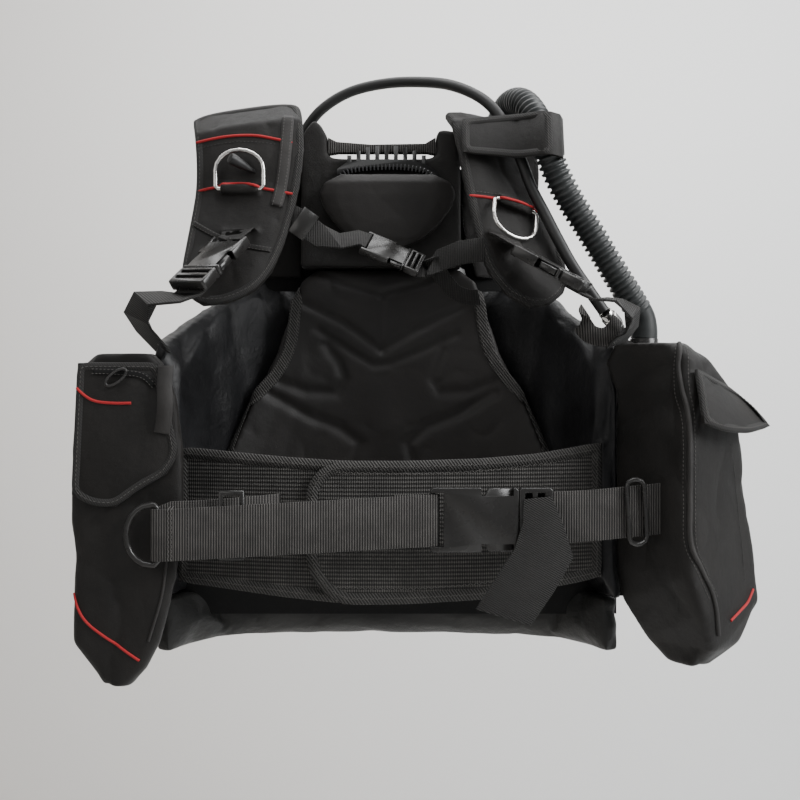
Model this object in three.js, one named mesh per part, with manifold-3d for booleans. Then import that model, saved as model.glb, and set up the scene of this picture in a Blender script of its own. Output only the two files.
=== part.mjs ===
// Buoyancy compensator vest: a jacket of air cells, shoulder straps and pockets on a plastic backpack.
// Millimetres, +Z up, the wearer faces -Y and the wearer's left is +X.
// The origin is the middle of the flat land on the backpack's rear face, where the tank rests.
import * as THREE from "three";
import { mergeVertices } from "three/addons/utils/BufferGeometryUtils.js";
import Module from "manifold-3d";

const wasm = await Module();
wasm.setup();

// ---- driving dimensions ----
const GAP = 0.35; // what touching pieces keep between them
const WEB = 2.4; // thickness of webbing
const WAIST_WEB = 50; // widths of the three webbings
const SHOULDER_WEB = 38;
const CHEST_WEB = 25;
const TANK_R = 92; // radius of an ordinary aluminium cylinder
const PLATE = 10; // backpack wall and its rear rails
const RAIL_IN = 38;
const RAIL_OUT = 60;
const PLATE_TOP = 165;
const PLATE_LOW = -195;
const BAND_H = 50; // tank band webbing
const BAND_Z = -60;
const BAND_SLOT_X = 78;
const SLOT_W = 8;
const STRAP_T = 16; // padded shoulder strap
const PAD_T = 29; // back pad at its middle
const CELL_T = 42; // air cell, part full
const BELT_Y = -185; // how far the cummerbund stands before the backpack
const BELT_T = 4.5;
const POCKET_FRONT = -204; // front face of the right pocket
const POCKET_WALL = 6;
const FLAP_T = 3.6;
const FLAP_TOP = 36; // where the right pocket's flap hangs from
const RING_WIRE = 5; // steel D-rings on the shoulders
const RING_W = 56;
const RING_H = 46;
const BELT_RING_WIRE = 6; // plastic D-ring on the waist strap
const BUCKLE_Y = -216; // waist buckle's middle plane
const HOSE_R = 15; // corrugated hose, outside
const LP_R = 6; // low pressure hose, outside
const FITTING_R = 7.5;

const part = new THREE.Group();
const V = (x, y, z) => new THREE.Vector3(x, y, z);
const P = (p) => V(p[0], p[1], p[2]);

// ---- finishes ----
const finish = (color, roughness, metalness = 0) =>
  new THREE.MeshStandardMaterial({ color, roughness, metalness });
const NYLON = finish(0x1b1a19, 0.75);
const SHINY_NYLON = finish(0x17181a, 0.45);
const WEBBING = finish(0x2b2a28, 0.85);
const FOAM = finish(0x242020, 0.55);
const PLASTIC = finish(0x151515, 0.4);
const STEEL = finish(0xc8c6c2, 0.22, 1);
const RUBBER = finish(0x1a1c1b, 0.5);
const HOSE = finish(0x232826, 0.55);

// ---- solids ----
// Six times the volume inside a geometry's triangles: below nothing when they face in.
function signedVolume(points, faces) {
  let volume = 0;
  const [a, b, c] = [V(0, 0, 0), V(0, 0, 0), V(0, 0, 0)];
  for (let i = 0; i < faces.length; i += 3) {
    [a, b, c].forEach((v, k) => v.fromBufferAttribute(points, faces[i + k]));
    volume += a.dot(b.cross(c));
  }
  return volume;
}

function solidOf(geometry) {
  const bare = new THREE.BufferGeometry();
  bare.setAttribute("position", geometry.getAttribute("position"));
  if (geometry.index) bare.setIndex(geometry.index);
  const merged = mergeVertices(bare, 1e-3);
  const triVerts = new Uint32Array(merged.index.array);
  if (signedVolume(merged.attributes.position, triVerts) < 0) triVerts.reverse();
  return new wasm.Manifold(
    new wasm.Mesh({ numProp: 3, vertProperties: merged.attributes.position.array, triVerts }),
  );
}

function geometryOf(solid) {
  const mesh = solid.getMesh();
  const geometry = new THREE.BufferGeometry();
  geometry.setAttribute("position", new THREE.BufferAttribute(mesh.vertProperties, 3));
  geometry.setIndex(new THREE.BufferAttribute(mesh.triVerts, 1));
  return geometry;
}

// The largest piece of a cut solid, without the crumbs that a cut can leave.
const largest = (solid) =>
  solid.decompose().reduce((a, b) => (b.volume() > a.volume() ? b : a));

const cut = (solid, ...tools) => largest(tools.reduce((s, tool) => s.subtract(tool), solid));
const join = (...solids) => solids.reduce((a, b) => a.add(b));

function add(name, solid, material, parent = part) {
  const mesh = new THREE.Mesh(geometryOf(solid), material);
  mesh.name = name;
  parent.add(mesh);
  return solid;
}

// A closed solid from rings of points: each ring is joined to the next, and both ends are capped
// unless the row of rings closes on itself.
function skin(rings, closed = false) {
  const n = rings[0].length;
  const points = rings.flat();
  const faces = [];
  const last = closed ? rings.length : rings.length - 1;
  for (let i = 0; i < last; i++) {
    const a = i * n;
    const b = ((i + 1) % rings.length) * n;
    for (let j = 0; j < n; j++) {
      const k = (j + 1) % n;
      faces.push(a + j, b + j, b + k, a + j, b + k, a + k);
    }
  }
  if (!closed) {
    for (const [base, flip] of [[0, false], [(rings.length - 1) * n, true]]) {
      const middle = V(0, 0, 0);
      for (let j = 0; j < n; j++) middle.add(points[base + j]);
      points.push(middle.divideScalar(n));
      const m = points.length - 1;
      for (let j = 0; j < n; j++) {
        const k = (j + 1) % n;
        if (flip) faces.push(m, base + k, base + j);
        else faces.push(m, base + j, base + k);
      }
    }
  }
  return solidFrom(points, faces);
}

// A solid from points and triangles.
function solidFrom(points, faces) {
  const geometry = new THREE.BufferGeometry().setFromPoints(points);
  geometry.setIndex(faces);
  return solidOf(geometry);
}

// Straight steps between two edges, `across` points in each row.
function between(left, right, across) {
  return left.map((a, i) =>
    Array.from({ length: across }, (_, j) => P(a).lerp(P(right[i]), j / (across - 1))),
  );
}

// The outward steps of a grid of points at one of its points, along a row and along a column.
function normalAt(grid, i, j) {
  const row = (k) => grid[Math.max(0, Math.min(grid.length - 1, k))];
  const col = (r, k) => r[Math.max(0, Math.min(r.length - 1, k))];
  const along = col(row(i + 1), j).clone().sub(col(row(i - 1), j));
  const side = col(row(i), j + 1).clone().sub(col(row(i), j - 1));
  return along.cross(side).normalize();
}

// A grid of points grown by `grow` past each of its four edges.
function spread(grid, grow) {
  if (!grow) return grid;
  const out = grid.map((row) => row.map((p) => p.clone()));
  const push = (p, from, by) => p.add(p.clone().sub(from).setLength(by));
  const last = grid.length - 1;
  const end = grid[0].length - 1;
  grid.forEach((row, i) => {
    push(out[i][0], row[1], grow);
    push(out[i][end], row[end - 1], grow);
  });
  grid[0].forEach((_, j) => {
    push(out[0][j], grid[1][j], grow);
    push(out[last][j], grid[last - 1][j], grow);
  });
  return out;
}

// A slab round a grid of points, `depth(u, v)` thick: u runs down the rows and v along them.
function slab(grid, depth, grow = 0) {
  const wide = spread(grid, grow);
  const rows = wide.length;
  const cols = wide[0].length;
  const points = [];
  for (const side of [0.5, -0.5]) {
    wide.forEach((row, i) =>
      row.forEach((p, j) => {
        const t = depth(i / (rows - 1), j / (cols - 1)) + 2 * grow;
        points.push(p.clone().addScaledVector(normalAt(grid, i, j), side * t));
      }),
    );
  }
  const at = (side, i, j) => side * rows * cols + i * cols + j;
  const faces = [];
  const quad = (a, b, c, d) => faces.push(a, b, c, a, c, d);
  for (let i = 0; i + 1 < rows; i++) {
    for (let j = 0; j + 1 < cols; j++) {
      quad(at(0, i, j), at(0, i, j + 1), at(0, i + 1, j + 1), at(0, i + 1, j));
      quad(at(1, i, j), at(1, i + 1, j), at(1, i + 1, j + 1), at(1, i, j + 1));
    }
  }
  for (let i = 0; i + 1 < rows; i++) {
    const j = cols - 1;
    quad(at(0, i, 0), at(0, i + 1, 0), at(1, i + 1, 0), at(1, i, 0));
    quad(at(0, i + 1, j), at(0, i, j), at(1, i, j), at(1, i + 1, j));
  }
  for (let j = 0; j + 1 < cols; j++) {
    const i = rows - 1;
    quad(at(0, 0, j + 1), at(0, 0, j), at(1, 0, j), at(1, 0, j + 1));
    quad(at(0, i, j), at(0, i, j + 1), at(1, i, j + 1), at(1, i, j));
  }
  return solidFrom(points, faces);
}

// A thickness that is full in the middle and falls to `edge` at the rim.
const crowned = (full, edge, power = 2.5) => (u, v) => {
  const rim = Math.max(Math.abs(2 * u - 1), Math.abs(2 * v - 1)) ** power;
  return full + (edge - full) * rim;
};
const even = (t) => () => t;

// A smooth curve through points, cut into `n` equal steps.
const curve = (points, n) => new THREE.CatmullRomCurve3(points.map(P)).getSpacedPoints(n);

// Webbing along a path: `wide` is the direction of its width, one for all or one for each point.
function webbing(path, width, wide, grow = 0, thick = WEB) {
  const rings = path.map((p, i) => {
    const before = path[Math.max(0, i - 1)];
    const after = path[Math.min(path.length - 1, i + 1)];
    const along = after.clone().sub(before).normalize();
    const w = (Array.isArray(wide) ? wide[i] : wide).clone();
    w.addScaledVector(along, -w.dot(along)).normalize();
    const n = along.clone().cross(w);
    const a = width / 2 + grow;
    const b = thick / 2 + grow;
    const end = i === 0 ? -grow : i === path.length - 1 ? grow : 0;
    const c = p.clone().addScaledVector(along, end);
    const corner = (s, t) => c.clone().addScaledVector(w, s * a).addScaledVector(n, t * b);
    return [corner(-1, -1), corner(1, -1), corner(1, 1), corner(-1, 1)];
  });
  return skin(rings);
}

// A round tube along a path, with a radius for each point or one for all.
function tube(path, radius, sides = 10, closed = false) {
  const n = path.length;
  const step = (i) => {
    const a = closed ? path[(i + n - 1) % n] : path[Math.max(0, i - 1)];
    const b = closed ? path[(i + 1) % n] : path[Math.min(n - 1, i + 1)];
    return b.clone().sub(a).normalize();
  };
  let side = V(0, 0, 1).cross(step(0));
  if (side.length() < 0.2) side = V(1, 0, 0).cross(step(0));
  const rings = path.map((p, i) => {
    const along = step(i);
    side.addScaledVector(along, -side.dot(along)).normalize();
    const up = along.clone().cross(side);
    const r = Array.isArray(radius) ? radius[i] : radius;
    return Array.from({ length: sides }, (_, j) => {
      const a = (2 * Math.PI * j) / sides;
      return p.clone().addScaledVector(side, r * Math.cos(a)).addScaledVector(up, r * Math.sin(a));
    });
  });
  return skin(rings, closed);
}

// A block from its lowest to its highest corner.
function block(x0, x1, y0, y1, z0, z1) {
  const geometry = new THREE.BoxGeometry(x1 - x0, y1 - y0, z1 - z0);
  geometry.translate((x0 + x1) / 2, (y0 + y1) / 2, (z0 + z1) / 2);
  return solidOf(geometry);
}

// A plate seen from the front: its outline in X and Z, between two depths.
function plate(outline, front, rear, round = 0) {
  const shape = new THREE.Shape(outline.map(([x, z]) => new THREE.Vector2(x, z)));
  const geometry = new THREE.ExtrudeGeometry(shape, {
    depth: rear - front - 2 * round,
    bevelEnabled: round > 0,
    bevelSize: round,
    bevelThickness: round,
    bevelOffset: -round,
    bevelSegments: 2,
    curveSegments: 6,
  });
  geometry.translate(0, 0, round);
  geometry.rotateX(Math.PI / 2);
  geometry.translate(0, rear, 0);
  return solidOf(geometry);
}

// A round piece turned about Z from a profile of radius and height.
function turned(profile, sides = 20) {
  const points = profile.map(([r, z]) => new THREE.Vector2(r, z));
  return solidOf(new THREE.LatheGeometry(points, sides).rotateX(Math.PI / 2));
}

// A solid moved so that its X, Y and Z axes lie along x, y and their cross product.
function placed(solid, centre, x, y) {
  const ex = x.clone().normalize();
  const ey = y.clone().addScaledVector(ex, -y.dot(ex)).normalize();
  const m = new THREE.Matrix4().makeBasis(ex, ey, ex.clone().cross(ey));
  m.setPosition(centre);
  return solid.transform(m.elements);
}

// ---- backpack, tank band and cam buckle ----
function backpackShell() {
  const side = [[62, PLATE_TOP], [88, PLATE_TOP - 14], [95, 120], [92, 0], [84, -120],
    [78, PLATE_LOW + 14], [60, PLATE_LOW]];
  const outline = [...side, ...side.map(([x, z]) => [-x, z]).reverse()];
  const railDepth = (x) => TANK_R - Math.sqrt(TANK_R ** 2 - x ** 2) - GAP;
  let shell = plate(outline, -PLATE, 0);
  for (const s of [1, -1]) {
    const shape = new THREE.Shape();
    shape.moveTo(s * (RAIL_IN - 4), -1);
    shape.lineTo(s * RAIL_IN, railDepth(RAIL_IN));
    shape.lineTo(s * RAIL_OUT, railDepth(RAIL_OUT));
    shape.lineTo(s * (RAIL_OUT + 5), -1);
    const rail = new THREE.ExtrudeGeometry(shape, { depth: 300, bevelEnabled: false });
    rail.translate(0, 0, -175);
    shell = shell.add(solidOf(rail));
    const slotX = s * BAND_SLOT_X;
    shell = shell.subtract(
      block(slotX - SLOT_W / 2, slotX + SLOT_W / 2, -PLATE - 1, 1, BAND_Z - BAND_H / 2 - 3,
        BAND_Z + BAND_H / 2 + 3),
    );
    for (const z of [78, -8, -142]) {
      shell = shell.subtract(block(s * 22 - 8, s * 22 + 8, -PLATE - 1, 1, z, z + 36));
    }
  }
  return shell.subtract(block(-30, 30, -PLATE - 1, 1, PLATE_TOP - 22, PLATE_TOP - 14));
}

const BAND_R = TANK_R + 1 + WEB / 2; // middle of the band's webbing round the tank
function tankBand() {
  const front = -PLATE - 0.5 - WEB / 2;
  const corner = V(BAND_SLOT_X, front, 0);
  const reach = Math.hypot(corner.x, TANK_R - corner.y);
  const leave = Math.atan2(corner.y - TANK_R, corner.x) + Math.acos(BAND_R / reach);
  const path = [];
  for (const x of [-BAND_SLOT_X + 4, 0, BAND_SLOT_X - 4]) path.push(V(x, front, BAND_Z));
  path.push(V(BAND_SLOT_X - 0.8, front + 1.2, BAND_Z), V(BAND_SLOT_X, front + 5, BAND_Z));
  const turns = 26;
  for (let i = 0; i <= turns; i++) {
    const a = leave + ((Math.PI - 2 * leave) * i) / turns;
    path.push(V(BAND_R * Math.cos(a), TANK_R + BAND_R * Math.sin(a), BAND_Z));
  }
  path.push(V(-BAND_SLOT_X, front + 5, BAND_Z), V(-BAND_SLOT_X + 0.8, front + 1.2, BAND_Z));
  const rings = path.map((p, i) => {
    const next = path[(i + 1) % path.length];
    const before = path[(i + path.length - 1) % path.length];
    const along = next.clone().sub(before).normalize();
    const n = along.clone().cross(V(0, 0, 1)).multiplyScalar(WEB / 2);
    const up = V(0, 0, BAND_H / 2);
    return [p.clone().add(n).add(up), p.clone().sub(n).add(up), p.clone().sub(n).sub(up),
      p.clone().add(n).sub(up)];
  });
  return skin(rings, true);
}

// A curved plate round the tank's axis, between two radii, two angles in degrees and two heights.
function arcPlate(r0, r1, from, to, z0, z1) {
  const shape = new THREE.Shape();
  const [a, b] = [from, to].map(THREE.MathUtils.degToRad);
  shape.absarc(0, TANK_R, r1, a, b, false);
  shape.absarc(0, TANK_R, r0, b, a, true);
  const geometry = new THREE.ExtrudeGeometry(shape, { depth: z1 - z0, bevelEnabled: false,
    curveSegments: 8 });
  geometry.translate(0, 0, z0);
  return solidOf(geometry);
}

const CAM = { from: 34, to: 78, base: 6, pinR: 3, barrelR: 5.6, half: 29 };
CAM.r0 = BAND_R + WEB / 2 + GAP;
CAM.pinAt = CAM.r0 + CAM.base + CAM.barrelR + 0.8;
CAM.pin = V(
  CAM.pinAt * Math.cos(THREE.MathUtils.degToRad(CAM.to - 3)),
  TANK_R + CAM.pinAt * Math.sin(THREE.MathUtils.degToRad(CAM.to - 3)),
  BAND_Z,
);
const upright = (r, z0, z1, at, sides = 16) =>
  turned([[0, z0], [r, z0], [r, z1], [0, z1]], sides).translate([at.x, at.y, 0]);

function camBody() {
  const [low, high] = [BAND_Z - CAM.half, BAND_Z + CAM.half];
  let body = arcPlate(CAM.r0, CAM.r0 + CAM.base, CAM.from, CAM.to, low, high);
  for (const [z0, z1] of [[low, low + 4], [high - 4, high]]) {
    body = body.add(arcPlate(CAM.r0 + 2, CAM.pinAt + 5, CAM.to - 7, CAM.to, z0, z1));
  }
  return body.add(upright(CAM.pinR, low + 1, high - 1, CAM.pin));
}

function camLever() {
  const [low, high] = [BAND_Z - CAM.half + 4.5, BAND_Z + CAM.half - 4.5];
  const r = CAM.r0 + CAM.base + 1.2;
  const blade = arcPlate(r, r + 5, CAM.from - 2, CAM.to - 4, low, high);
  const barrel = upright(CAM.barrelR, low, high, CAM.pin);
  return blade.add(barrel).subtract(upright(CAM.pinR + 0.4, low - 1, high + 1, CAM.pin, 20));
}

// ---- air cells, pads and yoke ----
// One side's path from the backpack round to the front, seen from above.
const CELL_PATH = [[100, 7], [128, 4], [158, -8], [188, -34], [212, -70], [226, -110], [229, -150]];
const CELL_LOW = -205;
const CELL_TOP = [148, 148, 140, 122, 98, 76, 58];

function airCell(s, grow = 0) {
  const rows = 9;
  const grid = Array.from({ length: rows }, (_, i) =>
    CELL_PATH.map(([x, y], j) => V(s * x, y, CELL_LOW + ((CELL_TOP[j] - CELL_LOW) * i) / (rows - 1))),
  );
  return slab(grid, crowned(CELL_T, 14), grow);
}

const LOWER_TOP = -205.6;
const LOWER_LOW = -262;
function lowerCell() {
  const path = curve([[-232, -128, 0], [-190, -70, 0], [-100, -44, 0], [0, -40, 0], [100, -44, 0],
    [190, -70, 0], [232, -128, 0]], 14);
  const grid = [0, 0.2, 0.5, 0.8, 1].map((u) =>
    path.map((p) => V(p.x, p.y, LOWER_LOW + (LOWER_TOP - LOWER_LOW) * u)),
  );
  return slab(grid, crowned(44, 20));
}

// Depth of the pad's front and rear faces at a distance from the middle.
const padFront = (x) => -42 - 0.0026 * Math.max(0, Math.abs(x) - 60) ** 2;
const padRear = (x) => Math.min(-PLATE - WEB - 0.85, padFront(x) + PAD_T - 0.07 * Math.abs(x));
const PAD_ROWS = [[-198, 150], [-165, 168], [-130, 178], [-60, 176], [0, 152], [50, 126], [110, 107],
  [135, 98], [148, 80]];
function backPad(grow = 0) {
  const across = 13;
  const grid = (face) =>
    PAD_ROWS.map(([z, half]) =>
      Array.from({ length: across }, (_, j) => {
        const x = -half + (2 * half * j) / (across - 1);
        return V(x, face(x), z);
      }),
    );
  const middle = grid((x) => (padFront(x) + padRear(x)) / 2);
  const edge = (u, v) => Math.max(Math.abs(2 * u - 1), Math.abs(2 * v - 1));
  const depth = (u, v) => {
    const x = (2 * v - 1) * 140;
    return (padRear(x) - padFront(x)) * (1 - 0.45 * edge(u, v) ** 6);
  };
  return slab(middle, depth, grow);
}

const NECK_ROWS = [[170, 20], [178, 40], [195, 58], [212, 70], [228, 76], [241, 70], [250, 52]];
const PAD_X = -1;
function neckPad(grow = 0) {
  const left = NECK_ROWS.map(([z, half]) => [PAD_X - half, -61.5, z]);
  const right = NECK_ROWS.map(([z, half]) => [PAD_X + half, -61.5, z]);
  return slab(between(left, right, 9), crowned(20, 8, 4), grow);
}

const YOKE_FRONT = -50;
const YOKE_REAR = -PLATE - GAP;
const HANDLE = { low: 278, high: 289, left: -68, right: 53 };
function yoke() {
  const outline = [
    [-98, 150], [-98, 296], [-84, 314], [-76, 310], [HANDLE.left - GAP, 296], [HANDLE.left - GAP, 274],
    [-56, 271], [0, 270], [42, 271], [HANDLE.right + GAP, 274], [HANDLE.right + GAP, 298], [58, 304],
    [80, 300], [82, 150],
  ];
  return plate(outline, YOKE_FRONT, YOKE_REAR);
}

// The grab handle closes the neckline above a finger gap.
function carryHandle() {
  const { low, high, left, right } = HANDLE;
  const outline = [[left, low - 2], [left, high + 6], [left + 10, high + 1], [-20, high - 2],
    [right - 12, high - 1], [right, high + 6], [right, low - 2], [right - 10, low], [left + 12, low]];
  return plate(outline, YOKE_FRONT + 2, YOKE_FRONT + 13);
}

// Ribbed rubber comb along the top of the neck pad.
const COMB = { arc: [[-57, 249], [-47, 256], [-25, 259.5], [0, 260], [22, 259], [40, 255], [55, 246]],
  pitch: 10.4, teeth: 9, tooth: 4.6 };
function neckComb() {
  const front = YOKE_FRONT - GAP - 9;
  const rear = YOKE_FRONT - GAP;
  const top = COMB.arc.map(([x, z]) => [x, z + 8]);
  let comb = plate([...COMB.arc.map(([x, z]) => [x, z - 0.5]), ...top.reverse()], front, rear);
  const middle = (COMB.teeth - 1) / 2;
  for (let i = 0; i < COMB.teeth; i++) {
    const x = (i - middle) * COMB.pitch - 2;
    const rise = 22 - 0.62 * Math.abs(i - middle) ** 2.1;
    comb = comb.add(block(x - COMB.tooth / 2, x + COMB.tooth / 2, front + 2, front + 6.5, 260, 262 + rise));
  }
  return comb;
}

// ---- shoulder straps ----
const STRAP_RIGHT = {
  outer: [[-150, -8, 141], [-178, -10, 200], [-194, -16, 245], [-200, -30, 275], [-210, -52, 296],
    [-213, -80, 302], [-206, -100, 283], [-203, -104, 250], [-203, -106, 222], [-206, -112, 197],
    [-211, -122, 160], [-214, -134, 130], [-207, -144, 108], [-190, -151, 97]],
  inner: [[-100, -12, 141], [-99.5, -14, 205], [-99.5, -22, 255], [-100, -34, 290], [-99, -54, 312],
    [-96, -82, 318], [-91, -104, 298], [-89, -112, 265], [-93, -116, 228], [-99, -120, 196],
    [-109, -128, 160], [-120, -138, 133], [-136, -146, 112], [-165, -152, 98]],
};
const STRAP_LEFT = {
  outer: [[136, -4, 141], [160, -6, 200], [174, -12, 245], [172, -24, 272], [160, -44, 290],
    [150, -66, 296], [143, -80, 284], [146, -86, 262], [155, -90, 232], [168, -98, 196],
    [182, -112, 160], [187, -124, 132], [184, -136, 112], [166, -146, 97]],
  inner: [[99, -12, 141], [83.5, -14, 205], [83.5, -22, 255], [83, -36, 286], [72, -56, 304],
    [62, -84, 310], [68, -106, 296], [75, -116, 265], [80, -122, 232], [87, -128, 196], [95, -134, 160],
    [104, -140, 132], [122, -146, 108], [146, -150, 95]],
};
const strapGrid = (edges) => between(edges.outer, edges.inner, 7);
const shoulderStrap = (edges, grow = 0) => slab(strapGrid(edges), crowned(STRAP_T, 8, 4), grow);

// Where a ring's bar lies, which way the strap is behind it and which way its loop points.
function barOf(centre, along, back, loop) {
  const a = P(along).normalize();
  const off = (v) => P(v).addScaledVector(a, -P(v).dot(a)).normalize();
  return { centre: P(centre), along: a, back: off(back), loop: off(loop) };
}
const BAR_RIGHT = barOf([-156, -123, 222], [1, -0.06, 0], [0.06, 1, 0.1], [0, 0, 1]);
const BAR_LEFT = barOf([135, -122, 205], [0.85, 0.34, -0.27], [-0.4, 0.9, 0.15], [0, -0.42, -0.91]);

// A webbing tunnel sewn on the strap, with room for the ring's bar.
function ringTunnel(bar) {
  const half = RING_W / 2 - RING_WIRE - 2.5;
  const rim = RING_WIRE / 2 + GAP + WEB;
  const sleeve = block(-half, half, -rim, rim + 8, -rim, rim);
  return placed(sleeve, bar.centre, bar.along, bar.back);
}

function barBore(bar) {
  const ends = [-1, 0, 1].map((t) => bar.centre.clone().addScaledVector(bar.along, (t * RING_W) / 2));
  return tube(ends, RING_WIRE / 2 + GAP, 12);
}

// A D-ring: a straight bar and a bow of wire.
function dRing(bar, width, height, wire) {
  const half = (width - wire) / 2;
  const bow = half * 0.82;
  const rise = height - wire - bow;
  const path = [V(-half, 3, 0), V(-half, rise, 0)];
  for (let i = 1; i < 10; i++) {
    const a = Math.PI - (Math.PI * i) / 10;
    path.push(V(half * Math.cos(a), rise + bow * Math.sin(a), 0));
  }
  path.push(V(half, rise, 0), V(half, 3, 0), V(half - 3, 0, 0), V(0, 0, 0), V(-half + 3, 0, 0));
  const m = new THREE.Matrix4().makeBasis(bar.along, bar.loop, bar.along.clone().cross(bar.loop));
  m.setPosition(bar.centre);
  return tube(path, wire / 2, 8, true).transform(m.elements);
}

// Ribbed rubber grip of the dump cord, lying inside the right ring.
const TOGGLE = { tip: [-139, -116, 240], end: [-164, -135, 252] };
function dumpToggle() {
  const [tip, end] = [P(TOGGLE.tip), P(TOGGLE.end)];
  const long = tip.distanceTo(end);
  const bell = turned([[0, 0], [2, 0], [2.6, long * 0.2], [4.4, long * 0.45], [6.2, long * 0.86],
    [5.4, long], [0, long]], 16);
  const along = end.clone().sub(tip);
  const side = along.clone().cross(V(0, 0, 1));
  return placed(bell, tip, side, side.clone().cross(along).negate());
}

// ---- buckles ----
// A side-release buckle round its own middle: X from socket to plug, Z across, Y from face to rear.
function buckle(web, length, thick) {
  const k = web / WAIST_WEB;
  const end = length / 2;
  const half = web / 2 + 6 * Math.sqrt(k);
  const mouth = end - 33 * k;
  const deep = thick / 2;
  const inner = deep - 2 * k - 0.8;
  const blockOf = (x0, x1, y, z) => block(x0, x1, -y, y, -z, z);
  const shell = (x0, x1) => {
    const c = 2.5 * k;
    const outline = [[x0, half - c], [x0 + c, half], [x1 - c, half], [x1, half - c], [x1, c - half],
      [x1 - c, -half], [x0 + c, -half], [x0, c - half]];
    return plate(outline, -deep, deep, 1.2);
  };
  const bar = 5 * k;
  const slot = 8 * k;
  const window = [mouth - 36 * k, mouth - 5 * k];
  let socket = shell(-end, mouth).subtract(blockOf(-end + bar, -end + bar + slot, deep + 1, web / 2 + 1));
  for (const s of [1, -1]) {
    const rear = s > 0 ? [bar / 2, deep + 1] : [-deep - 1, -bar / 2];
    socket = socket.subtract(block(-end - 1, -end + bar + 1, ...rear, -web / 2 - 1, web / 2 + 1));
    const rim = s > 0 ? [half - 8 * k, half + 1] : [-half - 1, 8 * k - half];
    socket = socket.subtract(block(...window, -deep - 1, deep + 1, ...rim));
  }
  socket = socket.subtract(blockOf(-end + 17 * k, mouth + 1, inner + 0.8, half - 3 * k));

  let plug = shell(mouth + GAP, end).add(blockOf(-end + 39 * k, mouth + 2, inner, 5 * k));
  for (const x of [mouth + 6 * k, mouth + 18 * k]) {
    plug = plug.subtract(blockOf(x, x + 7 * k, deep + 1, web / 2 + 1));
  }
  const prong = (s, root) => {
    const outline = [
      [root, 10.5 * k], [root, 14.5 * k], [root - 4 * k, 16 * k], [window[1] - 1, 18 * k],
        [window[1] - 1, half - 0.6], [window[0] + 7 * k, half - 0.6],
      [window[0] + 1, 18 * k], [window[0] - 6 * k, 16 * k], [window[0] - 6 * k, 12.5 * k],
        [root - 4 * k, 9 * k],
    ];
    return plate(outline.map(([x, z]) => [x, s * z]), -inner, inner);
  };
  const pivot = V(mouth - 3 * k, 0, 12.5 * k);
  return { socket, plug, prong, pivot, mouth, end, deep, bar };
}

const turnedTo = (x, y) => ({ x: V(...x).normalize(), y: V(...y) });
const SHOULDER_BUCKLE = { length: 80, thick: 11 };
const BUCKLES = {
  waist: { web: WAIST_WEB, length: 118, thick: 14, centre: V(101, BUCKLE_Y, -115), ...turnedTo([1, 0, 0],
    [0, 1, 0]) },
  shoulder_right: { web: SHOULDER_WEB, ...SHOULDER_BUCKLE, centre: V(-178, -172, 138),
    ...turnedTo([-0.46, -0.6, -0.65], [0.33, 0.56, -0.75]) },
  shoulder_left: { web: SHOULDER_WEB, ...SHOULDER_BUCKLE, centre: V(165, -177, 131),
    ...turnedTo([0.82, -0.28, -0.5], [-0.5, 0.24, -0.82]) },
  chest: { web: CHEST_WEB, length: 66, thick: 8, centre: V(5, -112, 155), ...turnedTo([0.92, 0, -0.39],
    [0.25, 0.6, -0.75]) },
};

// A point given in a buckle's own axes, in the vest's.
function inBuckle(b, x, y, z = 0) {
  const ey = b.y.clone().addScaledVector(b.x, -b.y.dot(b.x)).normalize();
  return b.centre.clone().addScaledVector(b.x, x).addScaledVector(ey,
    y).addScaledVector(b.x.clone().cross(ey), z);
}
const across = (b) => inBuckle(b, 0, 0, 1).sub(b.centre);

function addBuckle(name, b) {
  const made = buckle(b.web, b.length, b.thick);
  const put = (solid) => placed(solid, b.centre, b.x, b.y);
  add(`${name}_buckle_socket`, put(made.socket), PLASTIC);
  if (name === "chest") {
    // The small buckle's prongs are too fine to part from its plug.
    const plug = join(made.plug, made.prong(1, made.mouth + 1), made.prong(-1, made.mouth + 1));
    add("chest_buckle_plug", put(plug), PLASTIC);
    return;
  }
  add(`${name}_buckle_plug`, put(made.plug), PLASTIC);
  add(`${name}_prong_upper`, put(made.prong(1, made.mouth - 0.1)), PLASTIC);
  add(`${name}_prong_lower`, put(made.prong(-1, made.mouth - 0.1)), PLASTIC);
}

// ---- cummerbund and waist webbing ----
const beltY = (x, under = 0) => BELT_Y + under + 0.0009 * x * x;
function belt(rows, under, grow = 0) {
  const grid = rows.map(([x, top, low]) =>
    [0, 0.25, 0.5, 0.75, 1].map((u) => V(x, beltY(x, under), top + (low - top) * u)),
  );
  return slab(grid, even(BELT_T), grow);
}
const BELT_RIGHT = [[-216, -50, -188], [-196, -50, -189], [-150, -54, -193], [-100, -58, -198],
  [-50, -61, -202], [0, -62, -202], [40, -64, -200]];
const BELT_LEFT = [[-81, -105, -140], [-78, -84, -168], [-68, -70, -186], [-55, -63, -196],
  [-42, -61, -203], [20, -61, -202], [93, -59, -199], [150, -55, -192], [196, -48, -186],
  [220, -44, -182]];
const UNDER = BELT_T + 1.2; // the right half lies behind the left one

// Half a turn of webbing round a bar, seen from above.
function wrap(x, y, r, from, to, z) {
  return Array.from({ length: 5 }, (_, i) => {
    const a = THREE.MathUtils.degToRad(from + ((to - from) * i) / 4);
    return V(x + r * Math.cos(a), y + r * Math.sin(a), z);
  });
}

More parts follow.
